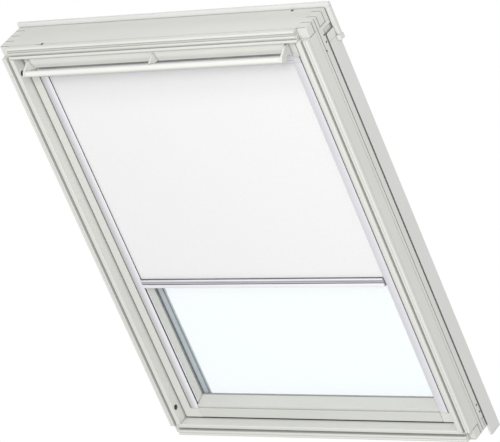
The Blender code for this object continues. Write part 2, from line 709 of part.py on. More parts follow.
def build_glazing():
    """Two panes held apart by a spacer, with a gasket against the sash and covers outside."""
    edge = GLASS_BITE - SEAT
    edge_bottom = GLASS_BITE_BOTTOM - SEAT
    pane = (REVEAL_HALF + edge, REVEAL_LOW - edge_bottom, REVEAL_HIGH + edge)
    outline = rectangle(-pane[0], pane[0], pane[1], pane[2])
    inner = extruded("inner_pane", outline, "Y", at_depth(PANE_FRONT), at_depth(PANE_FRONT + PANE), "glass")
    outer = extruded("outer_pane", outline, "Y", at_depth(OUTER_PANE_FRONT), at_depth(SASH_BACK), "glass")
    inset = edge - SPACER_WIDTH
    spacer_outer = (pane[0] - SEAT, pane[1] + SEAT, pane[2] - SEAT)
    spacer_inner = (REVEAL_HALF + inset, REVEAL_LOW - edge_bottom + SPACER_WIDTH, REVEAL_HIGH + inset)
    depths = (SPACER_FRONT, SPACER_FRONT + PANE_SPACE)
    spacer = framed("pane_spacer", spacer_outer, spacer_inner, depths, "spacer")
    lip = (REVEAL_HALF - MM, REVEAL_LOW + MM, REVEAL_HIGH - MM)
    depths = (SHOULDER + SEAT, SHOULDER + SEAT + GLAZING_GASKET)
    gasket = framed("glazing_gasket", spacer_outer, lip, depths, "black_rubber")
    cover_depth = (SASH_BACK + SEAT, SASH_BACK + SEAT + SASH_COVER)
    reach = SASH_HALF - SEAT
    covers = []
    bottom_high = pane[1] + COVER_LAP_BELOW
    for label, low, high in (("top", REVEAL_HIGH, SASH_HIGH), ("bottom", SASH_LOW, bottom_high)):
        half = REVEAL_HALF - SEAT
        covers.append(box("sash_cover_" + label, (-half, half), cover_depth, (low, high), "white_metal"))
    for label, side in SIDES:
        span = (side * REVEAL_HALF, side * reach)
        covers.append(box("sash_cover_" + label, span, cover_depth, (SASH_LOW, SASH_HIGH), "white_metal"))
    return [inner, outer, spacer, gasket] + covers


def build_pivot_bush(label, side):
    """The bush in the sash that turns on the frame's pin."""
    radius = PIVOT_PIN + RUNNING + PIVOT_BUSH_WALL
    span = (side * SASH_HALF, side * (OPENING_HALF - PIVOT_PIN_LENGTH))
    bush = rod_along_x("pivot_bush_" + label, PIVOT_DEPTH, PIVOT_HEIGHT, radius, span, "brass")
    bore = (span[0] + side * 5 * MM, span[1] - side * 5 * MM)
    bore_radius = (PIVOT_PIN + RUNNING) / math.cos(math.pi / 32)
    return cut(bush, rod_along_x(label + "_bush_bore", PIVOT_DEPTH, PIVOT_HEIGHT, bore_radius, bore))


def build_lock_case():
    """The lock's case, open on top where its latch comes out."""
    half_length, half_breadth = LOCK_CASE[0] / 2, LOCK_CASE[1] / 2
    depths = (LOCK_DEPTH - half_breadth, LOCK_DEPTH + half_breadth)
    low = SASH_HIGH - LOCK_CASE[2]
    case = box("lock_case", (-half_length, half_length), depths, (low, SASH_HIGH), "steel")
    half_latch = [size / 2 + LATCH_RUNNING for size in LATCH]
    depths = (LOCK_DEPTH - half_latch[1], LOCK_DEPTH + half_latch[1])
    floor = latch_low() - LATCH_TRAVEL - LATCH_RUNNING
    return cut(case, box("latch_way", (-half_latch[0], half_latch[0]), depths, (floor, SASH_HIGH + 5 * MM)))


def latch_low():
    return OPENING_HIGH - LATCH_CLEAR - LATCH_LENGTH


def build_latch():
    """The latch, with a slope on its room side; it stands just below the strike plate."""
    half_breadth = LATCH[1] / 2
    high = OPENING_HIGH - LATCH_CLEAR
    outline = [
        (at_depth(LOCK_DEPTH - half_breadth), latch_low()),
        (at_depth(LOCK_DEPTH + half_breadth), latch_low()),
        (at_depth(LOCK_DEPTH + half_breadth), high),
        (at_depth(LOCK_DEPTH), high),
        (at_depth(LOCK_DEPTH - half_breadth), high - half_breadth),
    ]
    return extruded("latch_bolt", outline, "X", -LATCH[0] / 2, LATCH[0] / 2, "steel")


def build_flap_bearing(label, side):
    """The lug on the sash's face, with the pin that the flap's end bracket turns on."""
    outer = side * (BRACKET_OUTER + SEAT + FLAP_BEARING[1])
    inner = side * (BRACKET_OUTER + SEAT)
    foot_outer = side * (SASH_HALF - 5 * MM)
    half = FLAP_BEARING[0] / 2
    lug_front, sash_face = FLAP_AXIS_DEPTH - half, SASH_DEPTH - SEAT
    lug_level = (FLAP_AXIS_HEIGHT - half, FLAP_AXIS_HEIGHT + half)
    lug = box("flap_bearing_" + label, (inner, outer), (lug_front, sash_face), lug_level, "white_metal")
    foot_level = (FLAP_AXIS_HEIGHT - 2 * half, FLAP_AXIS_HEIGHT + 2 * half)
    foot = box(label + "_bearing_foot", (inner, foot_outer), (sash_face - 2 * MM, sash_face), foot_level)
    join(lug, foot)
    pin_span = (outer - side * MM, side * (BRACKET_OUTER - BRACKET_THICKNESS + MM))
    pin = rod_along_x(label + "_flap_pin", FLAP_AXIS_DEPTH, FLAP_AXIS_HEIGHT, FLAP_PIN, pin_span, count=20)
    return join(lug, pin)


def build_channel(label, side):
    """A side channel of the blind, slotted along its inner edge for the fabric."""
    inner = side * CHANNEL_HALF
    outer = side * (CHANNEL_HALF + CHANNEL_WIDTH)
    slot = side * (CHANNEL_HALF + CHANNEL_SLOT_CUT)
    front, back = at_depth(CHANNEL_FRONT), at_depth(CHANNEL_BACK)
    slot_front = at_depth(FABRIC_DEPTH - CHANNEL_SLOT / 2)
    slot_back = at_depth(FABRIC_DEPTH + CHANNEL_SLOT / 2)
    corners = [
        (outer, front, EDGE_ROUND / 2),
        (outer, back, 0),
        (inner, back, 0),
        (inner, slot_back, 0),
        (slot, slot_back, 0),
        (slot, slot_front, 0),
        (inner, slot_front, 0),
        (inner, front, EDGE_ROUND),
    ]
    outline = filleted(corners)
    return extruded("channel_" + label, outline, "Z", CHANNEL_LOW, CASING_LOW - SEAT, "pale_aluminium")


def build_casing():
    """The blind's head casing: a bent sheet, open below where the fabric comes out."""
    front, back = CHANNEL_FRONT, CHANNEL_FRONT + CASING_BREADTH
    sheet = CASING_SHEET
    groove = front + CASING_GROOVE
    outline = [
        (front, CASING_LOW),
        (front, CASING_LOW + 3 * sheet),
        (groove, CASING_LOW + 3 * sheet),
        (groove, CASING_LOW + 4 * sheet),
        (front, CASING_LOW + 4 * sheet),
        (front, CASING_HIGH),
        (back, CASING_HIGH),
        (back, CASING_LOW),
        (front + CASING_MOUTH, CASING_LOW),
        (front + CASING_MOUTH, CASING_LOW + sheet),
        (back - sheet, CASING_LOW + sheet),
        (back - sheet, CASING_HIGH - sheet),
        (front + sheet, CASING_HIGH - sheet),
        (front + sheet, CASING_LOW),
    ]
    placed = [(at_depth(depth), height) for depth, height in outline]
    return extruded("blind_casing", placed, "X", -CASING_HALF, CASING_HALF, "pale_aluminium")


def build_casing_end(label, side):
    """An end of the casing: a bearing plate for the roller and a nose over the channel."""
    back = CHANNEL_FRONT + CASING_BREADTH
    inner, outer = side * (CASING_HALF + SEAT), side * CASING_END_HALF
    name = "casing_end_" + label
    plate = box(name, (inner, outer), (CHANNEL_FRONT, back), (CASING_LOW, CASING_HIGH), "pale_aluminium")
    nose_span = (inner, side * (CHANNEL_HALF + CHANNEL_WIDTH))
    nose_depth = (CHANNEL_FRONT, CHANNEL_BACK)
    join(plate, box(label + "_nose", nose_span, nose_depth, (CASING_LOW, CASING_HIGH)))
    bore_radius = (ROLLER_PIN + RUNNING) / math.cos(math.pi / 20)
    bore = (inner - side * 5 * MM, outer + side * 5 * MM)
    name = label + "_roller_bore"
    return cut(plate, rod_along_x(name, ROLLER_DEPTH, ROLLER_HEIGHT, bore_radius, bore, count=20))


def build_fabric():
    """The blind's cloth, from where it leaves the roller down to its bar."""
    half_thickness = FABRIC / 2
    depths = (FABRIC_DEPTH - half_thickness, FABRIC_DEPTH + half_thickness)
    level = (BLIND_BAR_LOW + BLIND_BAR_HEIGHT + SEAT, ROLLER_HEIGHT)
    return box("blind_fabric", (-FABRIC_HALF, FABRIC_HALF), depths, level, "blind_fabric")


def build_sash():
    pieces = [build_sash_top(), build_sash_bottom(), build_lock_case(), build_casing(), build_fabric()]
    pieces += build_glazing()
    for label, side in SIDES:
        pieces.append(build_sash_side(label, side))
        pieces.append(build_pivot_bush(label, side))
        pieces.append(build_flap_bearing(label, side))
        pieces.append(build_channel(label, side))
        pieces.append(build_casing_end(label, side))
    return pieces


def build_flap():
    """The ventilation flap: a board whose front rolls back towards its lower edge."""
    corners = [
        (FLAP_DEPTH, FLAP_HIGH, EDGE_ROUND),
        (FLAP_DEPTH, FLAP_HIGH - FLAP_HEIGHT * 0.55, FLAP_HEIGHT * 0.7),
        (FLAP_DEPTH + FLAP_ROLL_BACK, FLAP_BOTTOM, EDGE_ROUND * 2),
        (FLAP_BACK, FLAP_BOTTOM, EDGE_ROUND),
        (FLAP_BACK, FLAP_HIGH, 0),
    ]
    outline = filleted([(at_depth(depth), height, radius) for depth, height, radius in corners], steps=4)
    return extruded("vent_flap", outline, "X", -FLAP_HALF, FLAP_HALF, "white_plastic", smooth=True)


def bar_corner(along, out, radius):
    """A corner placed by the control bar's section: along its width and out across it."""
    along, out = along * BAR_WIDTH / 2, out * BAR_THICKNESS / 2
    depth = BAR_DEPTH + along * math.cos(BAR_TILT) - out * math.sin(BAR_TILT)
    height = FLAP_HIGH - BAR_BELOW + along * math.sin(BAR_TILT) + out * math.cos(BAR_TILT)
    return depth, height, radius


def build_end_bracket(label, side):
    """An end bracket: an arm from the flap's end down to the bar, with the lobe that turns on the pin."""
    lobe_bottom = FLAP_AXIS_HEIGHT - BRACKET_LOBE
    high = FLAP_HIGH - BRACKET_DROP
    corners = [
        (FLAP_BACK, high, 0),
        (FLAP_DEPTH - BRACKET_DROP, high, BAR_WIDTH),
        bar_corner(-1, 0.7, EDGE_ROUND * 4),
        bar_corner(-1, -1, EDGE_ROUND),
        bar_corner(1, -1, EDGE_ROUND),
        bar_corner(1, 0.3, EDGE_ROUND * 2),
        (BAR_DEPTH + BAR_WIDTH, FLAP_BOTTOM + BRACKET_DROP, EDGE_ROUND * 5),
        (FLAP_AXIS_DEPTH - BRACKET_LOBE, lobe_bottom, BRACKET_LOBE * 0.9),
        (FLAP_BACK, lobe_bottom, BRACKET_LOBE * 0.9),
    ]
    outline = filleted([(at_depth(depth), height, radius) for depth, height, radius in corners], steps=5)
    span = sorted((side * (FLAP_HALF + SEAT), side * BRACKET_OUTER))
    bracket = extruded("bar_bracket_" + label, outline, "X", *span, "white_plastic", smooth=True)
    bore = (side * FLAP_HALF, side * (BRACKET_OUTER + 5 * MM))
    radius = (FLAP_PIN + RUNNING) / math.cos(math.pi / 20)
    cutter = rod_along_x(label + "_flap_bore", FLAP_AXIS_DEPTH, FLAP_AXIS_HEIGHT, radius, bore, count=20)
    return cut(bracket, cutter)


def build_middle_bracket():
    """The middle bracket, which stands on the flap's face and ends on top of the bar."""
    back = FLAP_DEPTH - SEAT
    high = FLAP_HIGH - BRACKET_DROP
    over = 1 + SEAT * 2 / BAR_THICKNESS
    corners = [
        (back, high, 0),
        (FLAP_DEPTH - BRACKET_DROP, high, BRACKET_DROP * 0.8),
        bar_corner(-0.9, over + 0.15, 0),
        bar_corner(-0.8, over, 0),
        bar_corner(0.5, over, EDGE_ROUND),
        (back + FLAP_ROLL_BACK * 0.78, FLAP_BOTTOM + EDGE_ROUND * 2, 0),
        (back, FLAP_HIGH - FLAP_HEIGHT * 0.55, FLAP_HEIGHT * 0.7),
    ]
    outline = filleted([(at_depth(depth), height, radius) for depth, height, radius in corners], steps=5)
    half = MIDDLE_BRACKET / 2
    return extruded("bar_bracket_middle", outline, "X", -half, half, "white_plastic", smooth=True)


def build_control_bar():
    """The bar along the top, by which the flap and the sash are opened, held between the end brackets."""
    ends = ((-1, -1), (1, -1), (1, 1), (-1, 1))
    corners = [bar_corner(along, out, BAR_THICKNESS * 0.45) for along, out in ends]
    outline = filleted([(at_depth(depth), height, radius) for depth, height, radius in corners], steps=5)
    return extruded("control_bar", outline, "X", -FLAP_HALF, FLAP_HALF, "white_metal", smooth=True)


def build_flap_group():
    pieces = [build_flap(), build_middle_bracket(), build_control_bar()]
    return pieces + [build_end_bracket(label, side) for label, side in SIDES]


def build_roller():
    """The roller tube with the cloth left on it and a plug and pin at each end."""
    tube_span = (-FABRIC_HALF, FABRIC_HALF)
    tube = rod_along_x("roller_tube", ROLLER_DEPTH, ROLLER_HEIGHT, ROLLER_TUBE, tube_span, "pale_aluminium")
    bore = (-FABRIC_HALF - 5 * MM, FABRIC_HALF + 5 * MM)
    cut(tube, rod_along_x("roller_tube_bore", ROLLER_DEPTH, ROLLER_HEIGHT, ROLLER_BORE, bore))
    wound = rod_along_x("wound_fabric", ROLLER_DEPTH, ROLLER_HEIGHT, ROLLER_WOUND, tube_span, "blind_fabric")
    cut(wound, rod_along_x("wound_bore", ROLLER_DEPTH, ROLLER_HEIGHT, ROLLER_TUBE + SEAT, bore))
    pieces = [tube, wound]
    for label, side in SIDES:
        plug_radius = (ROLLER_BORE - SEAT) * math.cos(math.pi / 32)
        plug_span = (side * (FABRIC_HALF - ROLLER_PLUG), side * FABRIC_HALF)
        name = "roller_plug_" + label
        plug = rod_along_x(name, ROLLER_DEPTH, ROLLER_HEIGHT, plug_radius, plug_span, "dark_plastic")
        pin_span = (side * (FABRIC_HALF - MM), side * (CASING_END_HALF - SEAT))
        pin = rod_along_x(label + "_roller_pin", ROLLER_DEPTH, ROLLER_HEIGHT, ROLLER_PIN, pin_span, count=20)
        pieces.append(join(plug, pin))
    return pieces


def build_blind_bar():
    """The bar that pulls the cloth down, grooved along its face, with a shoe in each channel."""
    half = CHANNEL_HALF - BLIND_BAR_CLEAR
    front, back = BLIND_BAR_DEPTH, BLIND_BAR_DEPTH + BLIND_BAR_BREADTH
    low, high = BLIND_BAR_LOW, BLIND_BAR_LOW + BLIND_BAR_HEIGHT
    groove = front + 1 * MM
    step = BLIND_BAR_HEIGHT / 9
    corners = [
        (front, low, 0.8 * EDGE_ROUND),
        (front, low + 3 * step, 0),
        (groove, low + 3 * step, 0),
        (groove, low + 4 * step, 0),
        (front, low + 4 * step, 0),
        (front, low + 6 * step, 0),
        (groove, low + 6 * step, 0),
        (groove, low + 7 * step, 0),
        (front, low + 7 * step, 0),
        (front, high, 0.8 * EDGE_ROUND),
        (back, high, EDGE_ROUND),
        (back, low, EDGE_ROUND),
    ]
    outline = filleted([(at_depth(depth), height, radius) for depth, height, radius in corners], steps=2)
    pieces = [extruded("blind_bar", outline, "X", -half, half, "pale_aluminium")]
    half_tongue = CHANNEL_SLOT / 2 - SEAT
    middle = (low + high) / 2
    for label, side in SIDES:
        end = side * (CHANNEL_HALF + SHOE_REACH)
        depths = (FABRIC_DEPTH - half_tongue, FABRIC_DEPTH + half_tongue)
        inside = side * (CHANNEL_HALF + SEAT)
        level = (low + BLIND_BAR_HEIGHT - SHOE_HEIGHT, middle)
        tongue = box("blind_shoe_" + label, (inside, end), depths, level, "dark_plastic")
        tab = (side * (half + SEAT), (inside + end) / 2)
        pieces.append(join(tongue, box(label + "_shoe_tab", tab, depths, (low, middle))))
    return pieces


def main():
    clear_scene()
    build_frame()
    sash = joint_at("sash_pivot", PIVOT_DEPTH, PIVOT_HEIGHT)
    hang(build_sash(), sash)
    flap = joint_at("flap_pivot", FLAP_AXIS_DEPTH, FLAP_AXIS_HEIGHT, sash)
    hang(build_flap_group(), flap)
    latch = joint_at("latch_slide", LOCK_DEPTH, latch_low(), sash)
    hang([build_latch()], latch)
    roller = joint_at("roller_axis", ROLLER_DEPTH, ROLLER_HEIGHT, sash)
    hang(build_roller(), roller)
    blind = joint_at("blind_slide", FABRIC_DEPTH, BLIND_BAR_LOW, sash)
    hang(build_blind_bar(), blind)


main()
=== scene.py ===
"""The looks of a centre-pivot roof window with a roller blind: finishes, cloth, fixings, studio and camera.

Everything is in metres. X runs across the window, +Y from the room to the sky and +Z up the roof's slope.
"""

from __future__ import annotations

import logging
import math
from dataclasses import dataclass, field
from enum import Enum
from typing import Iterable, Sequence

import bmesh
import bpy
from mathutils import Matrix, Vector

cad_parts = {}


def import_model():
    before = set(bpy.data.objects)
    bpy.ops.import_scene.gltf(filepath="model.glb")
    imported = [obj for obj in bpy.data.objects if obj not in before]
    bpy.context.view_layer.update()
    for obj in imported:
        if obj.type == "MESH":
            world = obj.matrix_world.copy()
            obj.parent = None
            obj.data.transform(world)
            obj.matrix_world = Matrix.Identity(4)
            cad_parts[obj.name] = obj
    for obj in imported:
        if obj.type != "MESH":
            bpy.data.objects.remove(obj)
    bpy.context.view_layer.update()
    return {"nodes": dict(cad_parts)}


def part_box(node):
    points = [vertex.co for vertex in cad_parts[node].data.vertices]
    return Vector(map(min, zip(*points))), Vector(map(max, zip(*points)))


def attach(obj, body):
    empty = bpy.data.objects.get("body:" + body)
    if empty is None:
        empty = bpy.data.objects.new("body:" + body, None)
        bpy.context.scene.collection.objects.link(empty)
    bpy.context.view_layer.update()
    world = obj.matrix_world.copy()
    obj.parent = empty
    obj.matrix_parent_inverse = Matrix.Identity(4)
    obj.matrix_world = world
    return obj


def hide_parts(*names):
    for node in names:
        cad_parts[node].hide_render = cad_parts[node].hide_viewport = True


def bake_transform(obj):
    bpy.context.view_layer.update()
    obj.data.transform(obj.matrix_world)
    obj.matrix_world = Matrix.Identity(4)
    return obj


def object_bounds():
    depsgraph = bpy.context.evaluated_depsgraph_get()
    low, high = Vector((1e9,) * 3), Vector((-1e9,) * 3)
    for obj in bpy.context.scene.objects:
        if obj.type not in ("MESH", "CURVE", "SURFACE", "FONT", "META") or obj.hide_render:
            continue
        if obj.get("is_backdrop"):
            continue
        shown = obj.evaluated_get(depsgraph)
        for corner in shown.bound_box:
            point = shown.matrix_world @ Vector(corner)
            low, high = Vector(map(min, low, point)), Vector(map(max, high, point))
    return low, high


LOG = logging.getLogger("roof_window")
MM = 0.001
SIDES = (("left", -1), ("right", 1))

Number = float | int
Triple = tuple[float, float, float]
Feed = "Link | Number | Sequence[float]"


class Body(str, Enum):
    """The bodies that the added pieces ride on."""

    FRAME = "frame"
    SASH = "sash"
    VENT = "vent"
    ROLLER = "roller"
    BLIND = "blind"


class Axis(Enum):
    """The direction that a grain, a drawn line or a brushed finish runs in."""

    X = 0
    Y = 1
    Z = 2

    def stretched(self, across: float, along: float) -> Triple:
        """Scales for the three coordinates: `along` on this axis and `across` on the others."""
        scales = [across] * 3
        scales[self.value] = along
        return (scales[0], scales[1], scales[2])


class Link:
    """A shader socket that Python's arithmetic works on."""

    def __init__(self, shader: Shader, socket: bpy.types.NodeSocket) -> None:
        """Wraps a socket.

        Args:
            shader: The shader whose nodes the socket belongs to.
            socket: An output socket of one of its nodes.
        """
        self.shader = shader
        self.socket = socket

    def _joined(self, operation: str, first: Feed, second: Feed) -> Link:
        """Works out an expression of two operands.

        Args:
            operation: The name of the Math or Vector Math operation.
            first: The left operand.
            second: The right operand.

        Returns:
            The link that carries the result.
        """
        if self.socket.type == "VECTOR":
            spread = [(x, x, x) if isinstance(x, (int, float)) else x for x in (first, second)]
            return self.shader.node("VectorMath", {"operation": operation}, {0: spread[0], 1: spread[1]})
        return self.shader.node("Math", {"operation": operation}, {0: first, 1: second})

    def __add__(self, other: Feed) -> Link:
        """Adds."""
        return self._joined("ADD", self, other)

    def __radd__(self, other: Feed) -> Link:
        """Adds, with this link on the right."""
        return self._joined("ADD", other, self)

    def __sub__(self, other: Feed) -> Link:
        """Subtracts."""
        return self._joined("SUBTRACT", self, other)

    def __rsub__(self, other: Feed) -> Link:
        """Subtracts this link from something."""
        return self._joined("SUBTRACT", other, self)

    def __mul__(self, other: Feed) -> Link:
        """Multiplies."""
        return self._joined("MULTIPLY", self, other)

    def __rmul__(self, other: Feed) -> Link:
        """Multiplies, with this link on the right."""
        return self._joined("MULTIPLY", other, self)

    def smooth(self, low: float, high: float) -> Link:
        """A smooth step of this number from 0 at `low` to 1 at `high`."""
        sockets = {"Value": self, "From Min": low, "From Max": high}
        return self.shader.node("MapRange", {"interpolation_type": "SMOOTHSTEP"}, sockets)

    def sine(self) -> Link:
        """The sine of this number."""
        return self.shader.node("Math", {"operation": "SINE"}, {0: self})

    def mixed(self, low: Triple, high: Triple) -> Link:
        """The colour `low` where this number is 0 and `high` where it is 1."""
        sockets = {"Factor": self, "A": (*low, 1.0), "B": (*high, 1.0)}
        return self.shader.node("Mix", {"data_type": "RGBA"}, sockets, "Result")


class Shader:
    """A new material and the nodes in it."""

    def __init__(self, name: str) -> None:
        """Starts a material with a Principled shader.

        Args:
            name: The material's name.
        """
        self.material = bpy.data.materials.new(name)
        self.material.use_nodes = True
        self.tree = self.material.node_tree
        self.surface = self.tree.nodes["Principled BSDF"]

    def node(
        self, kind: str, settings: dict | None = None, sockets: dict | None = None, out: str | int = 0
    ) -> Link:
        """Adds a node.

        Args:
            kind: The node's type, without its prefix.
            settings: The node's own settings, which are set first.
            sockets: Numbers, vectors or links for its inputs, by name or place.
            out: The output that is wanted, by name or place.

        Returns:
            The link from that output.
        """
        made = self.tree.nodes.new("ShaderNode" + kind)
        for key, value in (settings or {}).items():
            setattr(made, key, value)
        for key, value in (sockets or {}).items():
            self.feed(self._input(made, key), value)
        return Link(self, self._output(made, out))

    @staticmethod
    def _input(node: bpy.types.Node, key: str | int) -> bpy.types.NodeSocket:
        """The enabled input of this name, or the one at this place."""
        if isinstance(key, int):
            return node.inputs[key]
        return next(s for s in node.inputs if s.name == key and s.enabled)

    @staticmethod
    def _output(node: bpy.types.Node, key: str | int) -> bpy.types.NodeSocket:
        """The enabled output of this name, or the one at this place."""
        if isinstance(key, int):
            return node.outputs[key]
        return next(s for s in node.outputs if s.name == key and s.enabled)

    def feed(self, socket: bpy.types.NodeSocket, value: Feed) -> None:
        """Links a link to an input, or sets a plain value on it."""
        if isinstance(value, Link):
            self.tree.links.new(value.socket, socket)
        else:
            socket.default_value = value

    def principled(self, **values: Feed) -> None:
        """Feeds the Principled shader's inputs; an underscore stands for a space in a name."""
        for name, value in values.items():
            self.feed(self.surface.inputs[name.replace("_", " ")], value)

    def place(self) -> Link:
        """The place on the piece in metres, which stays with the piece when it moves."""
        return self.node("TexCoord", out="Object")

    def component(self, place: Link, name: str) -> Link:
        """One of a place's coordinates: X, Y or Z."""
        return self.node("SeparateXYZ", None, {"Vector": place}, name)

    def noise(self, place: Link, scale: float, detail: float = 3.0) -> Link:
        """A noise from 0 to 1.

        Args:
            place: The coordinates to read it at.
            scale: How fine it is, in features a metre.
            detail: How many finer layers it has.

        Returns:
            The link that carries the noise.
        """
        return self.node("TexNoise", None, {"Vector": place, "Scale": scale, "Detail": detail})

    def with_painted_gap_shade(self, colour: Link, reach: float = 9 * MM, deepest: float = 0.5) -> Link:
        """Dims a colour in narrow gaps and inside corners, as painted shade.

        Args:
            colour: The colour in the open.
            reach: How far off a wall still counts.
            deepest: What is left of the colour in the narrowest gap.

        Returns:
            The link that carries the dimmed colour.
        """
        # Painted shade: ambient occlusion darkens the colour where walls close in.
        openness = self.node("AmbientOcclusion", {"samples": 6}, {"Distance": reach}, "AO")
        shade = openness.smooth(0.1, 0.85).mixed((deepest,) * 3, (1.0, 1.0, 1.0))
        return self.multiplied(colour, shade)

    def multiplied(self, colour: Link, shade: Link) -> Link:
        """Multiplies one colour by another."""
        settings = {"data_type": "RGBA", "blend_type": "MULTIPLY"}
        return self.node("Mix", settings, {"Factor": 1.0, "A": colour, "B": shade}, "Result")

    def normal(self, height: Link, distance: float, strength: float = 1.0, soft_edge: float = 0.0) -> Link:
        """A normal from a height, over edges that look softened.

        Args:
            height: The surface's height, from 0 to 1.
            distance: How many metres a height of 1 stands for.
            strength: How strongly it shows.
            soft_edge: The radius that edges seem to have.

        Returns:
            The link to feed a Normal input with.
        """
        sockets = {"Height": height, "Distance": distance, "Strength": strength}
        if soft_edge:
            sockets["Normal"] = self.node("Bevel", {"samples": 6}, {"Radius": soft_edge})
        return self.node("Bump", None, sockets)


@dataclass(frozen=True)
class Finish:
    """A finish that a material is made from, once."""

    name: str
    colour: Triple
    shade: Triple
    roughness: float

    def material(self) -> bpy.types.Material:
        """The material of this finish."""
        if self.name in bpy.data.materials:
            return bpy.data.materials[self.name]
        shader = Shader(self.name)
        self.dress(shader)
        return shader.material

    def dress(self, shader: Shader) -> None:
        """Builds the finish's nodes.

        Args:
            shader: The material to build them in.
        """
        raise NotImplementedError


@dataclass(frozen=True)
class Lacquer(Finish):
    """White lacquer on pine, with the grain just showing through."""

    grain: Axis = Axis.Z
    soft_edge: float = 0.7 * MM
    # Painted shade in a cove: the levels (low, high) between which the colour is darkened, and what is left
    # of it.
    cove: tuple[float, float, float] | None = None

    def dress(self, shader: Shader) -> None:
        """Builds the grain, the uneven tone, the softened edges, the painted shade in gaps and any painted
        shade in a cove.

        Args:
            shader: The material to build them in.
        """
        place = shader.place()
        fibre = shader.noise(place * self.grain.stretched(900, 14), 1.0, 4.0)
        tone = shader.noise(place * self.grain.stretched(26, 5), 1.0, 2.0)
        colour = (fibre * 0.35 + tone * 0.65).smooth(0.3, 0.7).mixed(self.shade, self.colour)
        # Painted shade: darkens the colour between the cove's two levels.
        if self.cove:
            low, high, least = self.cove
            level = shader.component(place, "Z")
            inside = level.smooth(low - 0.6 * MM, low) * (1 - level.smooth(high - 1.2 * MM, high))
            colour = shader.multiplied(colour, inside.mixed((1.0, 1.0, 1.0), (least,) * 3))
        shader.principled(
            # The base colour carries painted shade in gaps.
            Base_Color=shader.with_painted_gap_shade(colour),
            Roughness=self.roughness + (tone - 0.5) * 0.12,
            Normal=shader.normal(fibre, 0.05 * MM, 0.5, self.soft_edge),
            Specular_IOR_Level=0.35,
        )


@dataclass(frozen=True)
class PaintedMetal(Finish):
    """Powder coat on sheet or die-cast metal, with a very fine orange peel."""

    soft_edge: float = 0.6 * MM

    def dress(self, shader: Shader) -> None:
        """Builds the orange peel, the uneven tone and the painted shade in gaps.

        Args:
            shader: The material to build them in.
        """
        place = shader.place()
        peel = shader.noise(place, 900.0, 2.0)
        tone = shader.noise(place, 9.0, 2.0)
        shader.principled(
            # The base colour carries painted shade in gaps.
            Base_Color=shader.with_painted_gap_shade(tone.smooth(0.3, 0.7).mixed(self.shade, self.colour)),
            Roughness=self.roughness + (peel - 0.5) * 0.1,
            Normal=shader.normal(peel, 0.03 * MM, 0.35, self.soft_edge),
            Specular_IOR_Level=0.4,
        )


@dataclass(frozen=True)
class Moulded(Finish):
    """Moulded plastic or rubber with a fine matt texture."""

    texture: float = 700.0
    relief: float = 0.04 * MM
    soft_edge: float = 0.8 * MM

    def dress(self, shader: Shader) -> None:
        """Builds the texture of the mould and the painted shade in gaps.

        Args:
            shader: The material to build it in.
        """
        place = shader.place()
        texture = shader.noise(place, self.texture, 3.0)
        tone = shader.noise(place, 12.0, 2.0)
        shader.principled(
            # The base colour carries painted shade in gaps.
            Base_Color=shader.with_painted_gap_shade(tone.smooth(0.3, 0.7).mixed(self.shade, self.colour)),
            Roughness=self.roughness + (texture - 0.5) * 0.12,
            Normal=shader.normal(texture, self.relief, 0.4, self.soft_edge),
            Specular_IOR_Level=0.4,
        )


@dataclass(frozen=True)
class DrawnMetal(Finish):
    """Anodised or bare metal with fine lines along its length."""

    along: Axis = Axis.Z
    metallic: float = 0.5
    soft_edge: float = 0.4 * MM
    # Painted shade across the piece: the X values (start, end) and what is left of the colour at start.
    painted_shade_across: tuple[float, float, float] | None = None

    def dress(self, shader: Shader) -> None:
        """Builds the drawn lines, the painted shade in gaps and any painted shade across the piece.

        Args:
            shader: The material to build them in.
        """
        place = shader.place()
        lines = shader.noise(place * self.along.stretched(1600, 12), 1.0, 2.0)
        tone = shader.noise(place * self.along.stretched(60, 4), 1.0, 2.0)
        colour = (lines * 0.4 + tone * 0.6).smooth(0.3, 0.7).mixed(self.shade, self.colour)
        # Painted shade across the piece, darkest at the first X value.
        if self.painted_shade_across:
            start, end, least = self.painted_shade_across
            across = shader.component(place, "X")
            colour = shader.multiplied(colour, across.smooth(start, end).mixed((least,) * 3, (1.0, 1.0, 1.0)))
        shader.principled(
            # The base colour carries painted shade in gaps.
            Base_Color=shader.with_painted_gap_shade(colour),
            Roughness=self.roughness + (lines - 0.5) * 0.2,
            Metallic=self.metallic,
            Normal=shader.normal(lines, 0.02 * MM, 0.4, self.soft_edge),
        )


@dataclass(frozen=True)
class Woven(Finish):
    """A plain weave, seen as fine threads close by and as a faint mottle from further off."""

    thread: float = 0.55 * MM
    # Painted shadow under the casing: the top level, the level where it ends and what is left of the colour
    # at the top.
    painted_casing_shadow: tuple[float, float, float] = (0.893, 0.79, 0.89)

    def dress(self, shader: Shader) -> None:
        """Builds the threads, the mottle, the sheen and the painted shadow under the casing.

        Args:
            shader: The material to build them in.
        """
        place = shader.place()
        level = shader.component(place, "Z")
        wobble = shader.noise(place, 240.0, 2.0)
        turns = 2 * math.pi / self.thread
        warp = (shader.component(place, "X") * turns + wobble * 3.0).sine()
        weft = (level * turns + wobble * 3.0).sine()
        weave = warp * weft * 0.5 + 0.5
        mottle = shader.noise(place, 420.0, 4.0)
        colour = (weave * 0.3 + mottle * 0.7).smooth(0.25, 0.75).mixed(self.shade, self.colour)
        # Painted shadow under the casing, darkest at the top of the cloth.
        start, end, least = self.painted_casing_shadow
        down = (start - level).smooth(0.0, start - end)
        shader.principled(
            Base_Color=shader.multiplied(colour, down.mixed((least,) * 3, (1.0, 1.0, 1.0))),
            Roughness=self.roughness + (mottle - 0.5) * 0.1,
            Normal=shader.normal(weave * 0.6 + mottle * 0.4, 0.06 * MM, 0.5),
            Sheen_Weight=0.15,
            Sheen_Roughness=0.5,
            Specular_IOR_Level=0.2,
        )


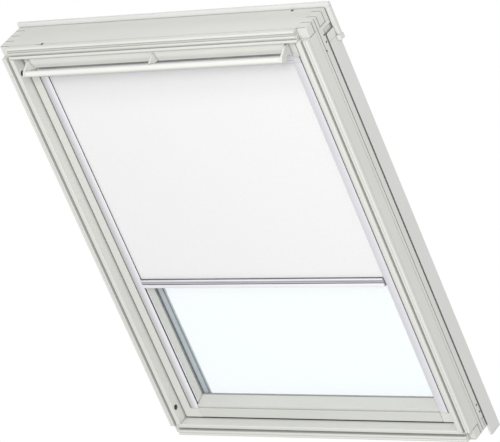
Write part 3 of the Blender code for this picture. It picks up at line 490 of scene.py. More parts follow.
@dataclass(frozen=True)
class ClearGlass(Finish):
    """Clear coated glass, of which little shows but a cool tint."""

    cover: float = 0.06

    def dress(self, shader: Shader) -> None:
        """Builds the tint and its faint unevenness.

        Args:
            shader: The material to build them in.
        """
        place = shader.place()
        tone = shader.noise(place, 2.2, 1.0)
        shader.principled(
            Base_Color=tone.smooth(0.3, 0.7).mixed(self.shade, self.colour),
            Roughness=self.roughness,
            IOR=1.5,
            Alpha=self.cover + (tone - 0.5) * 0.02,
        )


WOOD_LIGHT = (0.63, 0.635, 0.60)
WOOD_SHADE = (0.61, 0.615, 0.58)
WOOD_UPRIGHT = Lacquer("lacquered_pine_upright", WOOD_LIGHT, WOOD_SHADE, 0.42, grain=Axis.Z)
WOOD_LEVEL = Lacquer("lacquered_pine_level", WOOD_LIGHT, WOOD_SHADE, 0.42, grain=Axis.X)
# Lacquered pine with painted shade in the top moulding's cove.
WOOD_COVE_SHADE = Lacquer(
    "lacquered_pine_coved", WOOD_LIGHT, WOOD_SHADE, 0.42, grain=Axis.X, cove=(0.9680, 0.9743, 0.78)
)
# A darker copy of the lacquered pine, painted shade on the sash's bottom member.
WOOD_SILL_SHADE = Lacquer("lacquered_pine_sill", (0.585, 0.59, 0.56), (0.565, 0.57, 0.54), 0.42, grain=Axis.X)
COVER_PAINT = PaintedMetal("cover_powder_coat", (0.64, 0.645, 0.625), (0.625, 0.63, 0.61), 0.4)
BAR_PAINT = PaintedMetal("bar_lacquer", (0.70, 0.705, 0.67), (0.68, 0.685, 0.65), 0.3)
FLAP_PLASTIC = Moulded("flap_plastic", (0.65, 0.655, 0.62), (0.63, 0.635, 0.60), 0.4)
# One anodised metal for both channels, given lighter and darker copies with painted highlight and painted
# shade across them.
PALE_METAL_PAINTED_LIGHT_LEFT = DrawnMetal(
    "anodised_left", (0.96, 0.95, 0.98), (0.91, 0.90, 0.94), 0.38, painted_shade_across=(-0.338, -0.313, 0.56)
)
PALE_METAL_PAINTED_LIGHT_RIGHT = DrawnMetal(
    "anodised_right", (0.90, 0.89, 0.93), (0.85, 0.84, 0.89), 0.38, painted_shade_across=(0.312, 0.337, 0.82)
)
PALE_METAL_LEVEL = DrawnMetal("anodised_level", (0.80, 0.79, 0.83), (0.76, 0.75, 0.80), 0.38, along=Axis.X)
STEEL = DrawnMetal("zinc_plated_steel", (0.62, 0.62, 0.60), (0.54, 0.54, 0.53), 0.32, metallic=0.95)
BRASS = DrawnMetal(
    "sintered_brass", (0.62, 0.48, 0.26), (0.52, 0.40, 0.22), 0.36, along=Axis.X, metallic=0.95
)
BAR_METAL = DrawnMetal("anodised_bar", (0.60, 0.59, 0.64), (0.55, 0.54, 0.59), 0.38, along=Axis.X)
CAP_PLASTIC = Moulded("cap_plastic", (0.56, 0.565, 0.54), (0.54, 0.545, 0.52), 0.45)
# Near-black strips that stand for the shadow in the frame's joint seams.
JOINT_SHADOW = Moulded("glue_line", (0.10, 0.10, 0.095), (0.07, 0.07, 0.065), 0.6)
# Near-black strips that stand for the shadow in the kerfs and along the covers' edges.
EDGE_SHADOW = Moulded("sealing_tape", (0.11, 0.11, 0.11), (0.08, 0.08, 0.08), 0.6)
# Pale plastic for the bar's lower lip, also used as a painted highlight along the bar's top edge.
LIP_PLASTIC_AND_HIGHLIGHT = Moulded("lip_plastic", (0.76, 0.76, 0.78), (0.74, 0.74, 0.76), 0.4)
# Grey rubber for the glazing gasket and the hooks' slot, also used for painted shadow in the seam along the
# top member.
GREY_RUBBER_AND_SEAM_SHADE = Moulded("grey_seal_rubber", (0.34, 0.345, 0.35), (0.31, 0.315, 0.32), 0.7, relief=0.08 * MM)
# Dark brush fibre, partly a sealing brush and partly painted shadow in the gap between the flap and the bar.
BRUSH_AND_GAP_SHADE = Moulded("brush_fibre", (0.26, 0.26, 0.26), (0.18, 0.18, 0.18), 0.8, texture=1500.0, relief=0.2 * MM)
# Black rubber for the frame's gaskets, also used for dark strips of painted shadow in gaps: under the sash,
# at the channels' edges and on the blind's bar.
RUBBER_AND_GAP_SHADE = Moulded("seal_rubber", (0.07, 0.07, 0.075), (0.05, 0.05, 0.055), 0.7, relief=0.08 * MM)
DARK_PLASTIC = Moulded("dark_plastic", (0.06, 0.06, 0.065), (0.045, 0.045, 0.05), 0.5)
SPACER = DrawnMetal("spacer_aluminium", (0.52, 0.54, 0.56), (0.47, 0.49, 0.51), 0.4, metallic=0.3)
CLOTH = Woven("blind_cloth", (0.76, 0.76, 0.76), (0.72, 0.72, 0.72), 0.85)
GLASS = ClearGlass("coated_glass", (0.74, 0.93, 1.0), (0.70, 0.90, 0.98), 0.04)


@dataclass
class MeshPiece:
    """A new piece that is built as a mesh."""

    name: str
    body: Body
    slot: str
    finish: Finish
    smooth_angle: float = math.radians(35)

    def make(self, mesh: bmesh.types.BMesh) -> bpy.types.Object:
        """Turns a bmesh into the piece, dressed and ready to ride.

        Args:
            mesh: The piece's mesh, which is freed.

        Returns:
            The new object, which rides on nothing yet.
        """
        bmesh.ops.recalc_face_normals(mesh, faces=mesh.faces)
        data = bpy.data.meshes.new(self.name)
        mesh.to_mesh(data)
        mesh.free()
        data.shade_smooth()
        data.set_sharp_from_angle(angle=self.smooth_angle)
        data.materials.append(self.finish.material())
        piece = bpy.data.objects.new(self.name, data)
        bpy.context.scene.collection.objects.link(piece)
        return piece

    def riding(self, mesh: bmesh.types.BMesh) -> bpy.types.Object:
        """Makes the piece and lets it ride on its body.

        Args:
            mesh: The piece's mesh, which is freed.

        Returns:
            The new object.
        """
        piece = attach(self.make(mesh), self.body.value)
        LOG.info("%s rides on %s", self.name, self.body.value)
        return piece


def strip_mesh(low: Vector, high: Vector, edge: float) -> bmesh.types.BMesh:
    """A long strip between two corners, with rounded edges.

    Args:
        low: The corner with the lowest coordinates.
        high: The corner with the highest.
        edge: How far its edges are rounded.

    Returns:
        The closed mesh.
    """
    mesh = bmesh.new()
    add_strip(mesh, low, high, edge)
    return mesh


def add_strip(mesh: bmesh.types.BMesh, low: Vector, high: Vector, edge: float) -> None:
    """Adds a long strip with rounded edges to a mesh.

    Args:
        mesh: The mesh to add it to.
        low: The corner with the lowest coordinates.
        high: The corner with the highest.
        edge: How far its edges are rounded.
    """
    middle, size = (low + high) / 2, high - low
    verts = bmesh.ops.create_cube(mesh, size=1.0)["verts"]
    for vert in verts:
        vert.co = middle + Vector(c * s for c, s in zip(vert.co, size))
    edges = list({line for vert in verts for line in vert.link_edges})
    edges.sort(key=lambda line: tuple((line.verts[0].co + line.verts[1].co)[:]))
    bmesh.ops.bevel(mesh, geom=edges, offset=edge, segments=2, affect="EDGES", profile=0.5)


@dataclass(frozen=True)
class Spot:
    """A spot on a surface and the way that surface faces."""

    place: Triple
    facing: Triple

    def matrix(self) -> Matrix:
        """The matrix that turns +Z to the way the surface faces and moves it to the spot."""
        turn = Vector((0, 0, 1)).rotation_difference(Vector(self.facing)).to_matrix().to_4x4()
        return Matrix.Translation(self.place) @ turn


@dataclass(frozen=True)
class Nail:
    """A small nail with a domed head."""

    radius: float = 2.1 * MM
    height: float = 0.35 * MM
    count: int = 20

    def ring(self, mesh: bmesh.types.BMesh, radius: float, height: float) -> list[bmesh.types.BMVert]:
        """A ring of vertices about Z."""
        angles = [math.tau * step / self.count for step in range(self.count)]
        return [mesh.verts.new((radius * math.cos(a), radius * math.sin(a), height)) for a in angles]

    def skirt(self, mesh: bmesh.types.BMesh, rings: Sequence[list[bmesh.types.BMVert]]) -> None:
        """Joins rings from the lowest up and closes the bottom of the lowest.

        Args:
            mesh: The mesh that the rings are in.
            rings: Rings of equally many vertices, from the lowest up.
        """
        for low, high in zip(rings, rings[1:]):
            for step, vert in enumerate(low):
                after = (step + 1) % len(low)
                mesh.faces.new((vert, low[after], high[after], high[step]))
        mesh.faces.new(rings[0][::-1])

    def head(self, mesh: bmesh.types.BMesh) -> None:
        """Adds the head about the origin, facing +Z."""
        profile = ((1.0, -0.2), (1.0, 0.25), (0.8, 0.7), (0.45, 0.95))
        rings = [self.ring(mesh, self.radius * wide, self.height * high) for wide, high in profile]
        self.skirt(mesh, rings)
        mesh.faces.new(rings[-1])

    def add(self, mesh: bmesh.types.BMesh, spot: Spot) -> None:
        """Adds the head at a spot.

        Args:
            mesh: The mesh to add it to.
            spot: Where it sits and which way it faces.
        """
        before = set(mesh.verts)
        self.head(mesh)
        added = [vert for vert in mesh.verts if vert not in before]
        bmesh.ops.transform(mesh, matrix=spot.matrix(), verts=added)


@dataclass(frozen=True)
class Screw(Nail):
    """A low pan-head screw with a cross recess."""

    radius: float = 2.8 * MM
    height: float = 0.9 * MM
    recess: float = 0.7 * MM
    arm: float = 0.58
    arm_width: float = 0.15

    def head(self, mesh: bmesh.types.BMesh) -> None:
        """Adds the head about the origin, facing +Z."""
        profile = ((1.0, -0.1), (1.0, 0.35), (0.93, 0.75), (0.78, 1.0))
        rings = [self.ring(mesh, self.radius * wide, self.height * high) for wide, high in profile]
        self.skirt(mesh, rings)
        arm, half = self.arm * self.radius, self.arm_width * self.radius
        quarter = [Vector((arm, -half, 0)), Vector((arm, half, 0)), Vector((half, half, 0))]
        turns = [Matrix.Rotation(math.pi / 2 * turn, 3, "Z") for turn in range(4)]
        corners = [turn @ corner for turn in turns for corner in quarter]
        rims = []
        for level in (self.height, self.height - self.recess):
            rims.append([mesh.verts.new(corner + Vector((0, 0, level))) for corner in corners])
        for step in range(len(corners)):
            after = (step + 1) % len(corners)
            mesh.faces.new((rims[0][step], rims[1][step], rims[1][after], rims[0][after]))
        mesh.faces.new(rims[1])
        edges = []
        for loop in (rings[-1], rims[0]):
            pairs = zip(loop, loop[1:] + loop[:1])
            edges += [mesh.edges.get(pair) for pair in pairs]
        bmesh.ops.triangle_fill(mesh, edges=edges, use_beauty=True, use_dissolve=False)


@dataclass
class Assembly:
    """A sub-assembly: its CAD nodes and the finish that each of them gets."""

    nodes: dict[str, bpy.types.Object]
    finishes: dict[str, Finish] = field(default_factory=dict)

    def dress(self) -> None:
        """Gives each listed node its finish."""
        for name, finish in self.finishes.items():
            slots = self.nodes[name].material_slots
            for place in slots:
                place.material = finish.material()
            LOG.info("%s is finished as %s", name, finish.name)

    def build(self) -> None:
        """Adds the pieces that the nodes leave out."""

    def fix(self, piece: MeshPiece, fixing: Nail, spots: Iterable[Spot]) -> None:
        """Adds a group of equal fixings as one piece.

        Args:
            piece: The piece's name, body, slot and finish.
            fixing: The nail or screw.
            spots: Where the fixings sit.
        """
        mesh = bmesh.new()
        for spot in spots:
            fixing.add(mesh, spot)
        piece.riding(mesh)


def both(name: str) -> tuple[str, str]:
    """The names of a left and a right piece."""
    return name + "_left", name + "_right"


def shared(names: Iterable[str], finish: Finish) -> dict[str, Finish]:
    """One finish for several nodes."""
    return {name: finish for name in names}


@dataclass
class OuterFrame(Assembly):
    """The fixed frame with its mouldings, covers, seals and fittings."""

    plate_thickness: float = 3 * MM
    nails: tuple[tuple[float, float], ...] = (
        (44 * MM, 905.4 * MM),
        (52.8 * MM, 920.6 * MM),
        (54.5 * MM, 935.4 * MM),
        (52.5 * MM, 56.5 * MM),
        (54 * MM, 39 * MM),
    )
    finger_edges: tuple[float, ...] = (12.5 * MM, 32.3 * MM, 52.1 * MM, 71.9 * MM)
    finger_length: float = 23.5 * MM
    # Depths of the kerf, where a strip of painted shadow lies.
    kerf: tuple[float, float] = (42.05 * MM, 43.45 * MM)
    # Depths of the painted shadow along the side covers' front edges.
    cover_shadow: tuple[float, float] = (59.1 * MM, 60.6 * MM)
    line_width: float = 1.1 * MM
    moulding_lip: tuple[float, ...] = (4.6 * MM, 0.35 * MM, 0.0, 0.45 * MM)
    groove_bed: tuple[float, ...] = (8.7 * MM, 3.6 * MM, -4.0 * MM, 0.2 * MM)

    def __post_init__(self) -> None:
        """Lists the finishes."""
        self.finishes = {
            **shared(both("frame") + both("front_strip"), WOOD_UPRIGHT),
            **shared(("frame_top", "frame_bottom", "front_strip_bottom"), WOOD_LEVEL),
            "front_strip_top": WOOD_COVE_SHADE,
            **shared(("top_cover",) + both("side_cover") + both("cover_return"), COVER_PAINT),
            **shared(("frame_gasket_upper", "frame_gasket_lower"), RUBBER_AND_GAP_SHADE),
            **shared(both("pivot_plate") + ("strike_plate",), STEEL),
            **shared(both("bolt_socket_lower") + both("bolt_socket_upper"), DARK_PLASTIC),
        }

    def build(self) -> None:
        """Adds the fixings, strips of painted shadow in the corners' seams, in the kerfs, along the covers'
        edges and under the sash, the hooks' slot and the moulding's lip.
        """
        for label, side in SIDES:
            self.screw_pivot_plate(label, side)
            self.nail_side(label, side)
            self.screw_side_cover(label)
            self.line_joints(label, side, upper=True)
            self.line_joints(label, side, upper=False)
            self.shade_side_gaps(label, side)
        low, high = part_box("strike_plate")
        middle = (low.y + high.y) / 2
        spots = [Spot((x, middle, low.z), (0, 0, -1)) for x in (low.x + 8 * MM, high.x - 8 * MM)]
        self.fix(MeshPiece("strike_screws", Body.FRAME, "steel", STEEL), Screw(radius=2.2 * MM), spots)
        self.build_hook_slot()
        self.shade_sill_gap()
        self.add_moulding_lip()

    def line_joints(self, label: str, side: int, upper: bool) -> None:
        """Fills the seams of a corner's finger joint with thin dark strips, painted shadow in the seams.

        Args:
            label: The side's name.
            side: -1 for the left side and 1 for the right.
            upper: Whether it is the top corner, or else the bottom one.
        """
        low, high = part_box("frame_" + label)
        face, end = side * max(abs(low.x), abs(high.x)), high.z if upper else low.z
        inward, half, proud = -1 if upper else 1, self.line_width / 2, 0.06 * MM
        shoulder, foot = face - side * self.finger_length, end + inward * self.finger_length
        seams = []
        for depth in self.finger_edges:
            level, wide = low.y + depth, half if depth > self.finger_edges[0] else half / 2
            start = (shoulder, level - wide, end + inward * 0.3 * MM)
            seams.append((start, (face - side * 0.8 * MM, level + wide, end)))
            if depth > self.finger_edges[0]:
                start = (face - side * 0.3 * MM, level - half, foot)
                seams.append((start, (face, level + half, end + inward * 0.8 * MM)))
        for first, last in (self.finger_edges[:2], self.finger_edges[2:]):
            corner = (face - side * 0.3 * MM, low.y + first, foot - half)
            seams.append((corner, (face, low.y + last, foot + half)))
        mesh = bmesh.new()
        for one, other in seams:
            spread = [sorted(pair) for pair in zip(one, other)]
            start, stop = (Vector(pair[i] for pair in spread) for i in (0, 1))
            add_strip(mesh, start - Vector((proud,) * 3), stop + Vector((proud,) * 3), 0.04 * MM)
        name = f"joint_lines_{'top' if upper else 'bottom'}_{label}"
        MeshPiece(name, Body.FRAME, "dark_plastic", JOINT_SHADOW).riding(mesh)

    def shade_side_gaps(self, label: str, side: int) -> None:
        """Lays dark strips of painted shadow in a side member's kerf and along the edges of its covers.

        Args:
            label: The side's name.
            side: -1 for the left side and 1 for the right.
        """
        low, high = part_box("frame_" + label)
        cover_low, cover_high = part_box("side_cover_" + label)
        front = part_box("top_cover")[0].y - low.y
        face, top = side * max(abs(low.x), abs(high.x)), cover_high.z + 0.1 * MM
        kerf_shadow = ((self.kerf, (low.z + 1 * MM, high.z - 1 * MM)),)
        cover_shadow = (
            (self.cover_shadow, (max(low.z, cover_low.z) + 1 * MM, top)),
            ((self.cover_shadow[0], front), (top, top + 1.2 * MM)),
            ((front - 1.2 * MM, front + 0.1 * MM), (top, high.z - 1 * MM)),
        )
        for name, ends, runs in (("kerf_cord_", (-3.3, -0.1), kerf_shadow), ("cover_tape_", (0.0, 0.7), cover_shadow)):
            across = sorted(face + side * end * MM for end in ends)
            mesh = bmesh.new()
            for depths, levels in runs:
                start = Vector((across[0], low.y + depths[0], levels[0]))
                add_strip(mesh, start, Vector((across[1], low.y + depths[1], levels[1])), 0.15 * MM)
            MeshPiece(name + label, Body.FRAME, "black_rubber", EDGE_SHADOW).riding(mesh)

    def add_moulding_lip(self) -> None:
        """Adds the lip that stands below the top moulding and the bed of the groove under it."""
        low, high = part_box("front_strip_top")
        mesh = bmesh.new()
        for drop, front, rise, edge in (self.moulding_lip, self.groove_bed):
            start = Vector((low.x + 0.5 * MM, low.y + front, low.z - drop))
            add_strip(mesh, start, Vector((high.x - 0.5 * MM, high.y - 0.2 * MM, low.z + rise)), edge)
        MeshPiece("moulding_lip", Body.FRAME, "white_wood", WOOD_LEVEL).riding(mesh)

    def shade_sill_gap(self) -> None:
        """Lays a black strip on the bottom member, under the sash's front edge, as painted shadow in the gap
        there.
        """
        low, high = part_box("frame_bottom")
        sash_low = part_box("sash_bottom")[0]
        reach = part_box("sash_right")[1].x - 1 * MM
        start = Vector((-reach, sash_low.y + 0.1 * MM, high.z - 0.2 * MM))
        sill_shadow = strip_mesh(start, Vector((reach, sash_low.y + 5 * MM, high.z + 1.4 * MM)), 0.3 * MM)
        MeshPiece("sill_seal", Body.FRAME, "black_rubber", RUBBER_AND_GAP_SHADE).riding(sill_shadow)

    def screw_pivot_plate(self, label: str, side: int) -> None:
        """Screws a pivot plate on above and below its pin.

        Args:
            label: The side's name.
            side: -1 for the left side and 1 for the right.
        """
        low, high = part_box("pivot_plate_" + label)
        face = side * (max(abs(low.x), abs(high.x)) - self.plate_thickness)
        middle = (low.y + high.y) / 2
        spots = [Spot((face, middle, z), (-side, 0, 0)) for z in (low.z + 10 * MM, high.z - 10 * MM)]
        self.fix(MeshPiece("pivot_screws_" + label, Body.FRAME, "steel", STEEL), Screw(), spots)

    def nail_side(self, label: str, side: int) -> None:
        """Nails the corners beside the kerf, through the side member into the rails.

        Args:
            label: The side's name.
            side: -1 for the left side and 1 for the right.
        """
        low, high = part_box("frame_" + label)
        face = side * max(abs(low.x), abs(high.x))
        spots = [Spot((face, low.y + depth, low.z + height), (side, 0, 0)) for depth, height in self.nails]
        self.fix(MeshPiece("corner_nails_" + label, Body.FRAME, "dark_plastic", DARK_PLASTIC), Nail(), spots)

    def screw_side_cover(self, label: str) -> None:
        """Screws a side cover's flange to the back of the frame.

        Args:
            label: The side's name.
        """
        low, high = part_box("side_cover_" + label)
        frame_low, frame_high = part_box("frame_" + label)
        middle = (frame_low.x + frame_high.x) / 2
        levels = [low.z + (high.z - low.z) * share for share in (0.06, 0.35, 0.65, 0.94)]
        spots = [Spot((middle, high.y, z), (0, 1, 0)) for z in levels]
        piece = MeshPiece("cover_screws_" + label, Body.FRAME, "steel", STEEL)
        self.fix(piece, Screw(radius=3.2 * MM), spots)

    def build_hook_slot(self) -> None:
        """Sets the slot and sockets for the lining's hooks into the top member, and lays a thin grey strip of
        painted shadow in the seam along its top.
        """
        low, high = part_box("frame_top")
        start, depth = Vector((low.x + 99 * MM, low.y + 11.5 * MM, high.z)), Vector((0, 0.9 * MM, 0))
        end = start + depth + Vector((14, 0, 0.2)) * MM
        tray = strip_mesh(start - depth - Vector((0, 0, 0.4 * MM)), end, 0.15 * MM)
        MeshPiece("hook_slot", Body.FRAME, "dark_plastic", GREY_RUBBER_AND_SEAM_SHADE).riding(tray)
        places = ((start.x + 15 * MM, low.y + 12.5 * MM), (high.x - 74 * MM, low.y + 80.5 * MM))
        spots = [Spot((x, y, high.z), (0, 0, 1)) for x, y in places]
        hook = Nail(radius=2.9 * MM, height=1.7 * MM)
        self.fix(MeshPiece("hook_sockets", Body.FRAME, "dark_plastic", DARK_PLASTIC), hook, spots)
        # Painted shadow: a thin grey strip in the seam along the top of the top member.
        edge, reach = low.y + self.finger_edges[0], high.x - self.finger_length
        seam_low = Vector((-reach, edge - 0.3 * MM, high.z - 0.3 * MM))
        seam = strip_mesh(seam_low, Vector((reach, edge + 0.3 * MM, high.z + 0.06 * MM)), 0.04 * MM)
        MeshPiece("moulding_seam", Body.FRAME, "dark_plastic", GREY_RUBBER_AND_SEAM_SHADE).riding(seam)


@dataclass
class Sash(Assembly):
    """The sash with its glass, covers and lock."""

    def __post_init__(self) -> None:
        """Lists the finishes."""
        self.finishes = {
            **shared(both("sash"), WOOD_UPRIGHT),
            "sash_top": WOOD_LEVEL,
            "sash_bottom": WOOD_SILL_SHADE,
            **shared(("inner_pane", "outer_pane"), GLASS),
            "pane_spacer": SPACER,
            "glazing_gasket": GREY_RUBBER_AND_SEAM_SHADE,
            **shared(("sash_cover_top", "sash_cover_bottom") + both("sash_cover"), COVER_PAINT),
            **shared(both("pivot_bush"), BRASS),
            **shared(("lock_case", "latch_bolt"), STEEL),
            **shared(both("flap_bearing"), COVER_PAINT),
        }

    def build(self) -> None:
        """Adds the lock's screws, the caps over the flap's bearings and the covers' screws."""
        low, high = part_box("lock_case")
        middle = (low.y + high.y) / 2
        spots = [Spot((x, middle, high.z), (0, 0, 1)) for x in (low.x + 6 * MM, high.x - 6 * MM)]
        self.fix(MeshPiece("lock_screws", Body.SASH, "steel", STEEL), Screw(radius=2.2 * MM), spots)
        for label, side in SIDES:
            self.cap_bearing(label, side)
            self.screw_cover("sash_cover_" + label, upright=True)
        for label in ("top", "bottom"):
            self.screw_cover("sash_cover_" + label, upright=False)

    def cap_bearing(self, label: str, side: int) -> None:
        """Puts the plain cap over one of the flap's bearings, beside the flap's end bracket.

        Args:
            label: The side's name.
            side: -1 for the left side and 1 for the right.
        """
        low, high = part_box("flap_bearing_" + label)
        bracket_low, bracket_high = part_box("bar_bracket_" + label)
        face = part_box("sash_" + label)[0].y
        inner = side * (max(abs(bracket_low.x), abs(bracket_high.x)) + 0.3 * MM)
        outer = side * (max(abs(low.x), abs(high.x)) - 8 * MM)
        start = Vector((min(inner, outer), low.y - 2.2 * MM, low.z - 1 * MM))
        end = Vector((max(inner, outer), face, bracket_high.z + 1 * MM))
        cap = MeshPiece("bearing_cap_" + label, Body.SASH, "white_plastic", CAP_PLASTIC)
        cap.riding(strip_mesh(start, end, 0.3 * MM))

    def screw_cover(self, name: str, upright: bool) -> None:
        """Screws one of the outside covers to the sash behind it.

        Args:
            name: The cover's node.
            upright: Whether it stands upright, or else lies level.
        """
        low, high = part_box(name)
        middle, size = (low + high) / 2, high - low
        shares = (-0.44, -0.15, 0.15, 0.44) if upright else (-0.4, 0.0, 0.4)
        spots = []
        for share in shares:
            shift = (0.0, size.z * share) if upright else (size.x * share, 0.0)
            spots.append(Spot((middle.x + shift[0], high.y, middle.z + shift[1]), (0, 1, 0)))
        self.fix(MeshPiece(name + "_screws", Body.SASH, "steel", STEEL), Screw(radius=3.2 * MM), spots)


@dataclass
class VentFlap(Assembly):
    """The ventilation flap with its control bar and brackets."""

    def __post_init__(self) -> None:
        """Lists the finishes."""
        self.finishes = {
            "vent_flap": FLAP_PLASTIC,
            **shared(both("bar_bracket") + ("bar_bracket_middle",), FLAP_PLASTIC),
            "control_bar": BAR_PAINT,
        }

    def build(self) -> None:
        """Adds the dark brush along the underside of the flap, partly a sealing brush and partly painted
        shadow in the gap above the bar.
        """
        low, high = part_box("vent_flap")
        start = Vector((low.x + 4 * MM, high.y - 6.5 * MM, low.z - 6.5 * MM))
        brush = strip_mesh(start, Vector((high.x - 4 * MM, high.y - 1 * MM, low.z + 0.5 * MM)), 0.4 * MM)
        MeshPiece("flap_brush", Body.VENT, "black_rubber", BRUSH_AND_GAP_SHADE).riding(brush)


@dataclass
class RollerBlind(Assembly):
    """The roller blind: casing, channels, roller, cloth and bar."""

    cloth_thickness: float = 0.19 * MM
    wave: float = 0.12 * MM
    columns: int = 96
    rows: int = 120
    turn_segments: int = 24

    def __post_init__(self) -> None:
        """Lists the finishes."""
        self.finishes = {
            "channel_left": PALE_METAL_PAINTED_LIGHT_LEFT,
            "channel_right": PALE_METAL_PAINTED_LIGHT_RIGHT,
            **shared(("blind_casing", "roller_tube") + both("casing_end"), PALE_METAL_LEVEL),
            "blind_bar": BAR_METAL,
            **shared(both("roller_plug") + both("blind_shoe"), DARK_PLASTIC),
        }

    def build(self) -> None:
        """Adds the hanging cloth, the cloth on the roller, the painted shadow at the channels' inner edges
        and the bar's inlays, some of which are painted shadow and highlight.
        """
        self.build_cloth()
        self.build_roll()
        for label, side in SIDES:
            self.build_channel_shadow(label, side)
        self.build_bar_inlays()

    def build_channel_shadow(self, label: str, side: int) -> None:
        """Lines the inner edge of a channel with a dark strip, painted shadow in the gap that the cloth runs
        behind.

        Args:
            label: The side's name.
            side: -1 for the left side and 1 for the right.
        """
        low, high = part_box("channel_" + label)
        cloth_low, cloth_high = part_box("blind_fabric")
        inner = side * min(abs(low.x), abs(high.x))
        span = sorted((inner - side * 0.35 * MM, inner + side * 0.2 * MM))
        back = (cloth_low.y + cloth_high.y) / 2 - 1.3 * MM
        start = Vector((span[0], back - 1.7 * MM, low.z + 1 * MM))
        # Painted shadow: a black strip at the channel's inner edge.
        lip = strip_mesh(start, Vector((span[1], back, high.z - 1 * MM)), 0.12 * MM)
        MeshPiece("channel_lip_" + label, Body.SASH, "black_rubber", RUBBER_AND_GAP_SHADE).riding(lip)

    def build_bar_inlays(self) -> None:
        """Adds the bar's pale lower lip, a dark strip of painted shadow in the groove over it, a pale strip
        of painted highlight along its top edge and a dark strip of painted shadow in the gap where the cloth
        enters.
        """
        low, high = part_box("blind_bar")
        ends = (low.x + 1 * MM, high.x - 1 * MM)
        face, foot, top = low.y, low.z, high.z
        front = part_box("blind_fabric")[0].y - 0.2 * MM
        # The dark line and mouth strips are painted shadow; the pale strip along the top edge is a painted
        # highlight.
        inlays = (
            ("bar_lip", LIP_PLASTIC_AND_HIGHLIGHT, (face - 0.7 * MM, foot), (face + 0.2 * MM, foot + 8 * MM)),
            ("bar_line", RUBBER_AND_GAP_SHADE, (face - 0.15 * MM, foot + 8.3 * MM), (face + 0.2 * MM, foot + 9.6 * MM)),
            ("bar_edge", LIP_PLASTIC_AND_HIGHLIGHT, (face - 0.15 * MM, top - 2.4 * MM), (face + 1 * MM, top + 0.15 * MM)),
            ("bar_mouth", RUBBER_AND_GAP_SHADE, (front - 3.6 * MM, top - 0.3 * MM), (front - 1.4 * MM, top + 0.5 * MM)),
        )
        for name, finish, start, end in inlays:
            mesh = strip_mesh(Vector((ends[0], *start)), Vector((ends[1], *end)), 0.15 * MM)
            MeshPiece(name, Body.BLIND, "dark_plastic", finish).riding(mesh)

    def sheet_mesh(self, path: Sequence[Vector], half: float, columns: int) -> bmesh.types.BMesh:
        """A thin closed sheet across the window, along a path in Y and Z.

        Args:
            path: The points of the sheet's middle line, at x 0.
            half: Half of its width.
            columns: How many strips it has across.

        Returns:
            The mesh of both faces and the edges between them.
        """
        mesh = bmesh.new()
        layers: list[list[list[bmesh.types.BMVert]]] = []
        across = [half * (2 * c / columns - 1) for c in range(columns + 1)]
        for offset in (-self.cloth_thickness / 2, self.cloth_thickness / 2):
            layer = []
            for index, point in enumerate(path):
                ahead = path[min(index + 1, len(path) - 1)] - path[max(index - 1, 0)]
                side = Vector((0, ahead.z, -ahead.y)).normalized() * offset
                layer.append([mesh.verts.new(point + side + Vector((x, 0, 0))) for x in across])
            layers.append(layer)
        front, back = layers
        for row in range(len(path) - 1):
            for column in range(columns):
                for layer in layers:
                    low, high = layer[row], layer[row + 1]
                    mesh.faces.new((low[column], low[column + 1], high[column + 1], high[column]))
            for column in (0, columns):
                near, far = (front[row], front[row + 1]), (back[row + 1], back[row])
                mesh.faces.new([line[column] for line in near + far])
        for row in (0, len(path) - 1):
            for column in range(columns):
                near, far = front[row][column : column + 2], back[row][column : column + 2]
                mesh.faces.new(near + far[::-1])
        return mesh

    def build_cloth(self) -> None:
        """Builds the cloth from the bar up to the roller and over its top."""
        low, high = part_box("blind_fabric")
        roll_low, roll_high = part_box("wound_fabric")
        axis = (roll_low + roll_high) / 2
        middle = (low.y + high.y) / 2
        radius = axis.y - middle
        half = (high.x - low.x) / 2
        path = [Vector((0, middle, low.z + (axis.z - low.z) * i / self.rows)) for i in range(self.rows)]
        wrap = [math.radians(10 * step) for step in range(10)]
        path += [Vector((0, axis.y - radius * math.cos(a), axis.z + radius * math.sin(a))) for a in wrap]
        mesh = self.sheet_mesh(path, half, self.columns)
        for vert in mesh.verts:
            across = math.cos(math.pi * vert.co.x / (2 * half))
            along = math.sin(math.pi * min(max((vert.co.z - low.z) / (axis.z - low.z), 0), 1))
            x, z = vert.co.x, vert.co.z
            ripple = math.sin(23 * x + 9 * z) + 0.6 * math.sin(41 * x - 17 * z)
            vert.co.y += self.wave * across * along * ripple
        sheet = MeshPiece("blind_cloth", Body.SASH, "blind_fabric", CLOTH)
        piece = sheet.make(mesh)
        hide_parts("blind_fabric")
        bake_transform(piece)

    def build_roll(self) -> None:
        """Builds the turns of cloth that are still on the roller."""
        low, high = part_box("wound_fabric")
        tube_low, tube_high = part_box("roller_tube")
        axis = (low + high) / 2
        inner = (tube_high.z - tube_low.z) / 2 + self.cloth_thickness
        outer = (high.z - low.z) / 2 - self.cloth_thickness
        pitch = 1.03 * self.cloth_thickness
        steps = int((outer - inner) / pitch * self.turn_segments)
        path = []
        for step in range(steps + 1):
            angle = math.tau * step / self.turn_segments
            radius = inner + (outer - inner) * step / steps
            path.append(Vector((0, axis.y - radius * math.cos(angle), axis.z + radius * math.sin(angle))))
        half = (high.x - low.x) / 2
        roll = MeshPiece("cloth_on_roller", Body.ROLLER, "blind_fabric", CLOTH)
        piece = roll.riding(self.sheet_mesh(path, half, 4))
        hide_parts("wound_fabric")


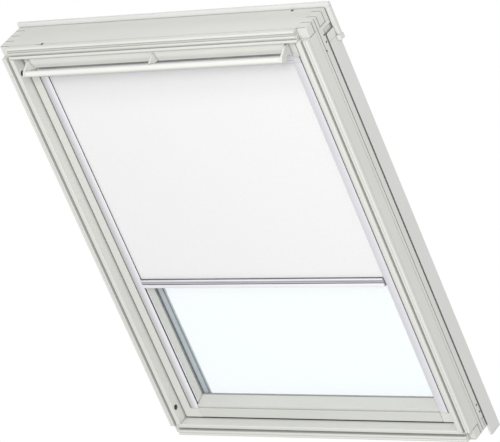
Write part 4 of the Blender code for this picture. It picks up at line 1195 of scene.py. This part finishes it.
@dataclass(frozen=True)
class PhotoCamera:
    """The camera at the photograph's view."""

    place: Triple = (4.5135, -4.76016, 3.6793)
    aim: Triple = (0.02272, 0.0015, 0.51665)
    roll: float = math.radians(-23.533)
    lens: float = 258.675
    sensor: float = 36.0

    def build(self) -> None:
        """Sets the scene's camera."""
        data = bpy.data.cameras.new("camera")
        data.lens = self.lens
        data.sensor_width = self.sensor
        data.clip_end = 100.0
        camera = bpy.data.objects.new("camera", data)
        bpy.context.scene.collection.objects.link(camera)
        turn = (Vector(self.aim) - Vector(self.place)).to_track_quat("-Z", "Y").to_matrix()
        turn = turn @ Matrix.Rotation(self.roll, 3, "Z")
        camera.matrix_world = Matrix.Translation(self.place) @ turn.to_4x4()
        bpy.context.scene.camera = camera
        LOG.info("the camera stands %.2f m away", (Vector(self.aim) - Vector(self.place)).length)


@dataclass(frozen=True)
class Studio:
    """A white floor with even light all round, a large soft key and a weak fill from the sky's side."""

    ambient: float = 0.66
    floor_size: float = 60.0
    key_place: Triple = (3.2, -4.6, 4.0)
    key_size: float = 3.0
    key_power: float = 365.0
    fill_place: Triple = (-3.0, 5.0, 1.0)
    fill_power: float = 110.0
    aim: Triple = (0.0, 0.0, 0.5)

    def build(self) -> None:
        """Builds the world, the floor and the lights."""
        scene = bpy.context.scene
        scene.view_settings.view_transform = "Standard"
        world = bpy.data.worlds.new("studio")
        world.use_nodes = True
        scene.world = world
        self.even_light(world.node_tree, world.node_tree.nodes["Background"], "Strength")
        self.build_floor()
        self.build_light("key", self.key_place, self.key_power)
        self.build_light("sky_fill", self.fill_place, self.fill_power)

    def even_light(self, tree: bpy.types.NodeTree, shader: bpy.types.Node, name: str) -> None:
        """Makes a shader look plain white while it lights the object less strongly.

        Args:
            tree: The node tree that the shader is in.
            shader: The background or emission shader.
            name: The name of its strength input.
        """
        rays = tree.nodes.new("ShaderNodeLightPath")
        strength = tree.nodes.new("ShaderNodeMapRange")
        strength.inputs["To Min"].default_value = self.ambient
        strength.inputs["To Max"].default_value = 1.0
        tree.links.new(rays.outputs["Is Camera Ray"], strength.inputs["Value"])
        tree.links.new(strength.outputs["Result"], shader.inputs[name])
        shader.inputs["Color"].default_value = (1, 1, 1, 1)

    def build_floor(self) -> None:
        """Lays the pale floor under the window's lowest point."""
        mesh = bmesh.new()
        bmesh.ops.create_grid(mesh, x_segments=1, y_segments=1, size=self.floor_size / 2)
        data = bpy.data.meshes.new("floor")
        mesh.to_mesh(data)
        mesh.free()
        floor = bpy.data.objects.new("floor", data)
        floor.location.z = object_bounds()[0][2] - MM
        bpy.context.scene.collection.objects.link(floor)
        shader = Shader("floor_white")
        glow = shader.tree.nodes.new("ShaderNodeEmission")
        self.even_light(shader.tree, glow, "Strength")
        output = shader.tree.nodes["Material Output"]
        shader.tree.links.new(glow.outputs[0], output.inputs["Surface"])
        data.materials.append(shader.material)
        floor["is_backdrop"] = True

    def build_light(self, name: str, place: Triple, power: float) -> None:
        """Hangs a large soft light.

        Args:
            name: The light's name.
            place: Where it hangs.
            power: Its power in watts.
        """
        data = bpy.data.lights.new(name, "AREA")
        data.shape = "SQUARE"
        data.size = self.key_size
        data.energy = power
        light = bpy.data.objects.new(name, data)
        bpy.context.scene.collection.objects.link(light)
        light.location = place
        light.rotation_euler = (Vector(self.aim) - Vector(place)).to_track_quat("-Z", "Y").to_euler()


def main() -> None:
    """Builds the studio, then each sub-assembly in order."""
    logging.basicConfig(level=logging.INFO, format="%(name)s: %(message)s")
    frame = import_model()
    PhotoCamera().build()
    Studio().build()
    for kind in (OuterFrame, Sash, VentFlap, RollerBlind):
        assembly = kind(frame["nodes"])
        assembly.dress()
        assembly.build()


if __name__ == "__main__":
    main()
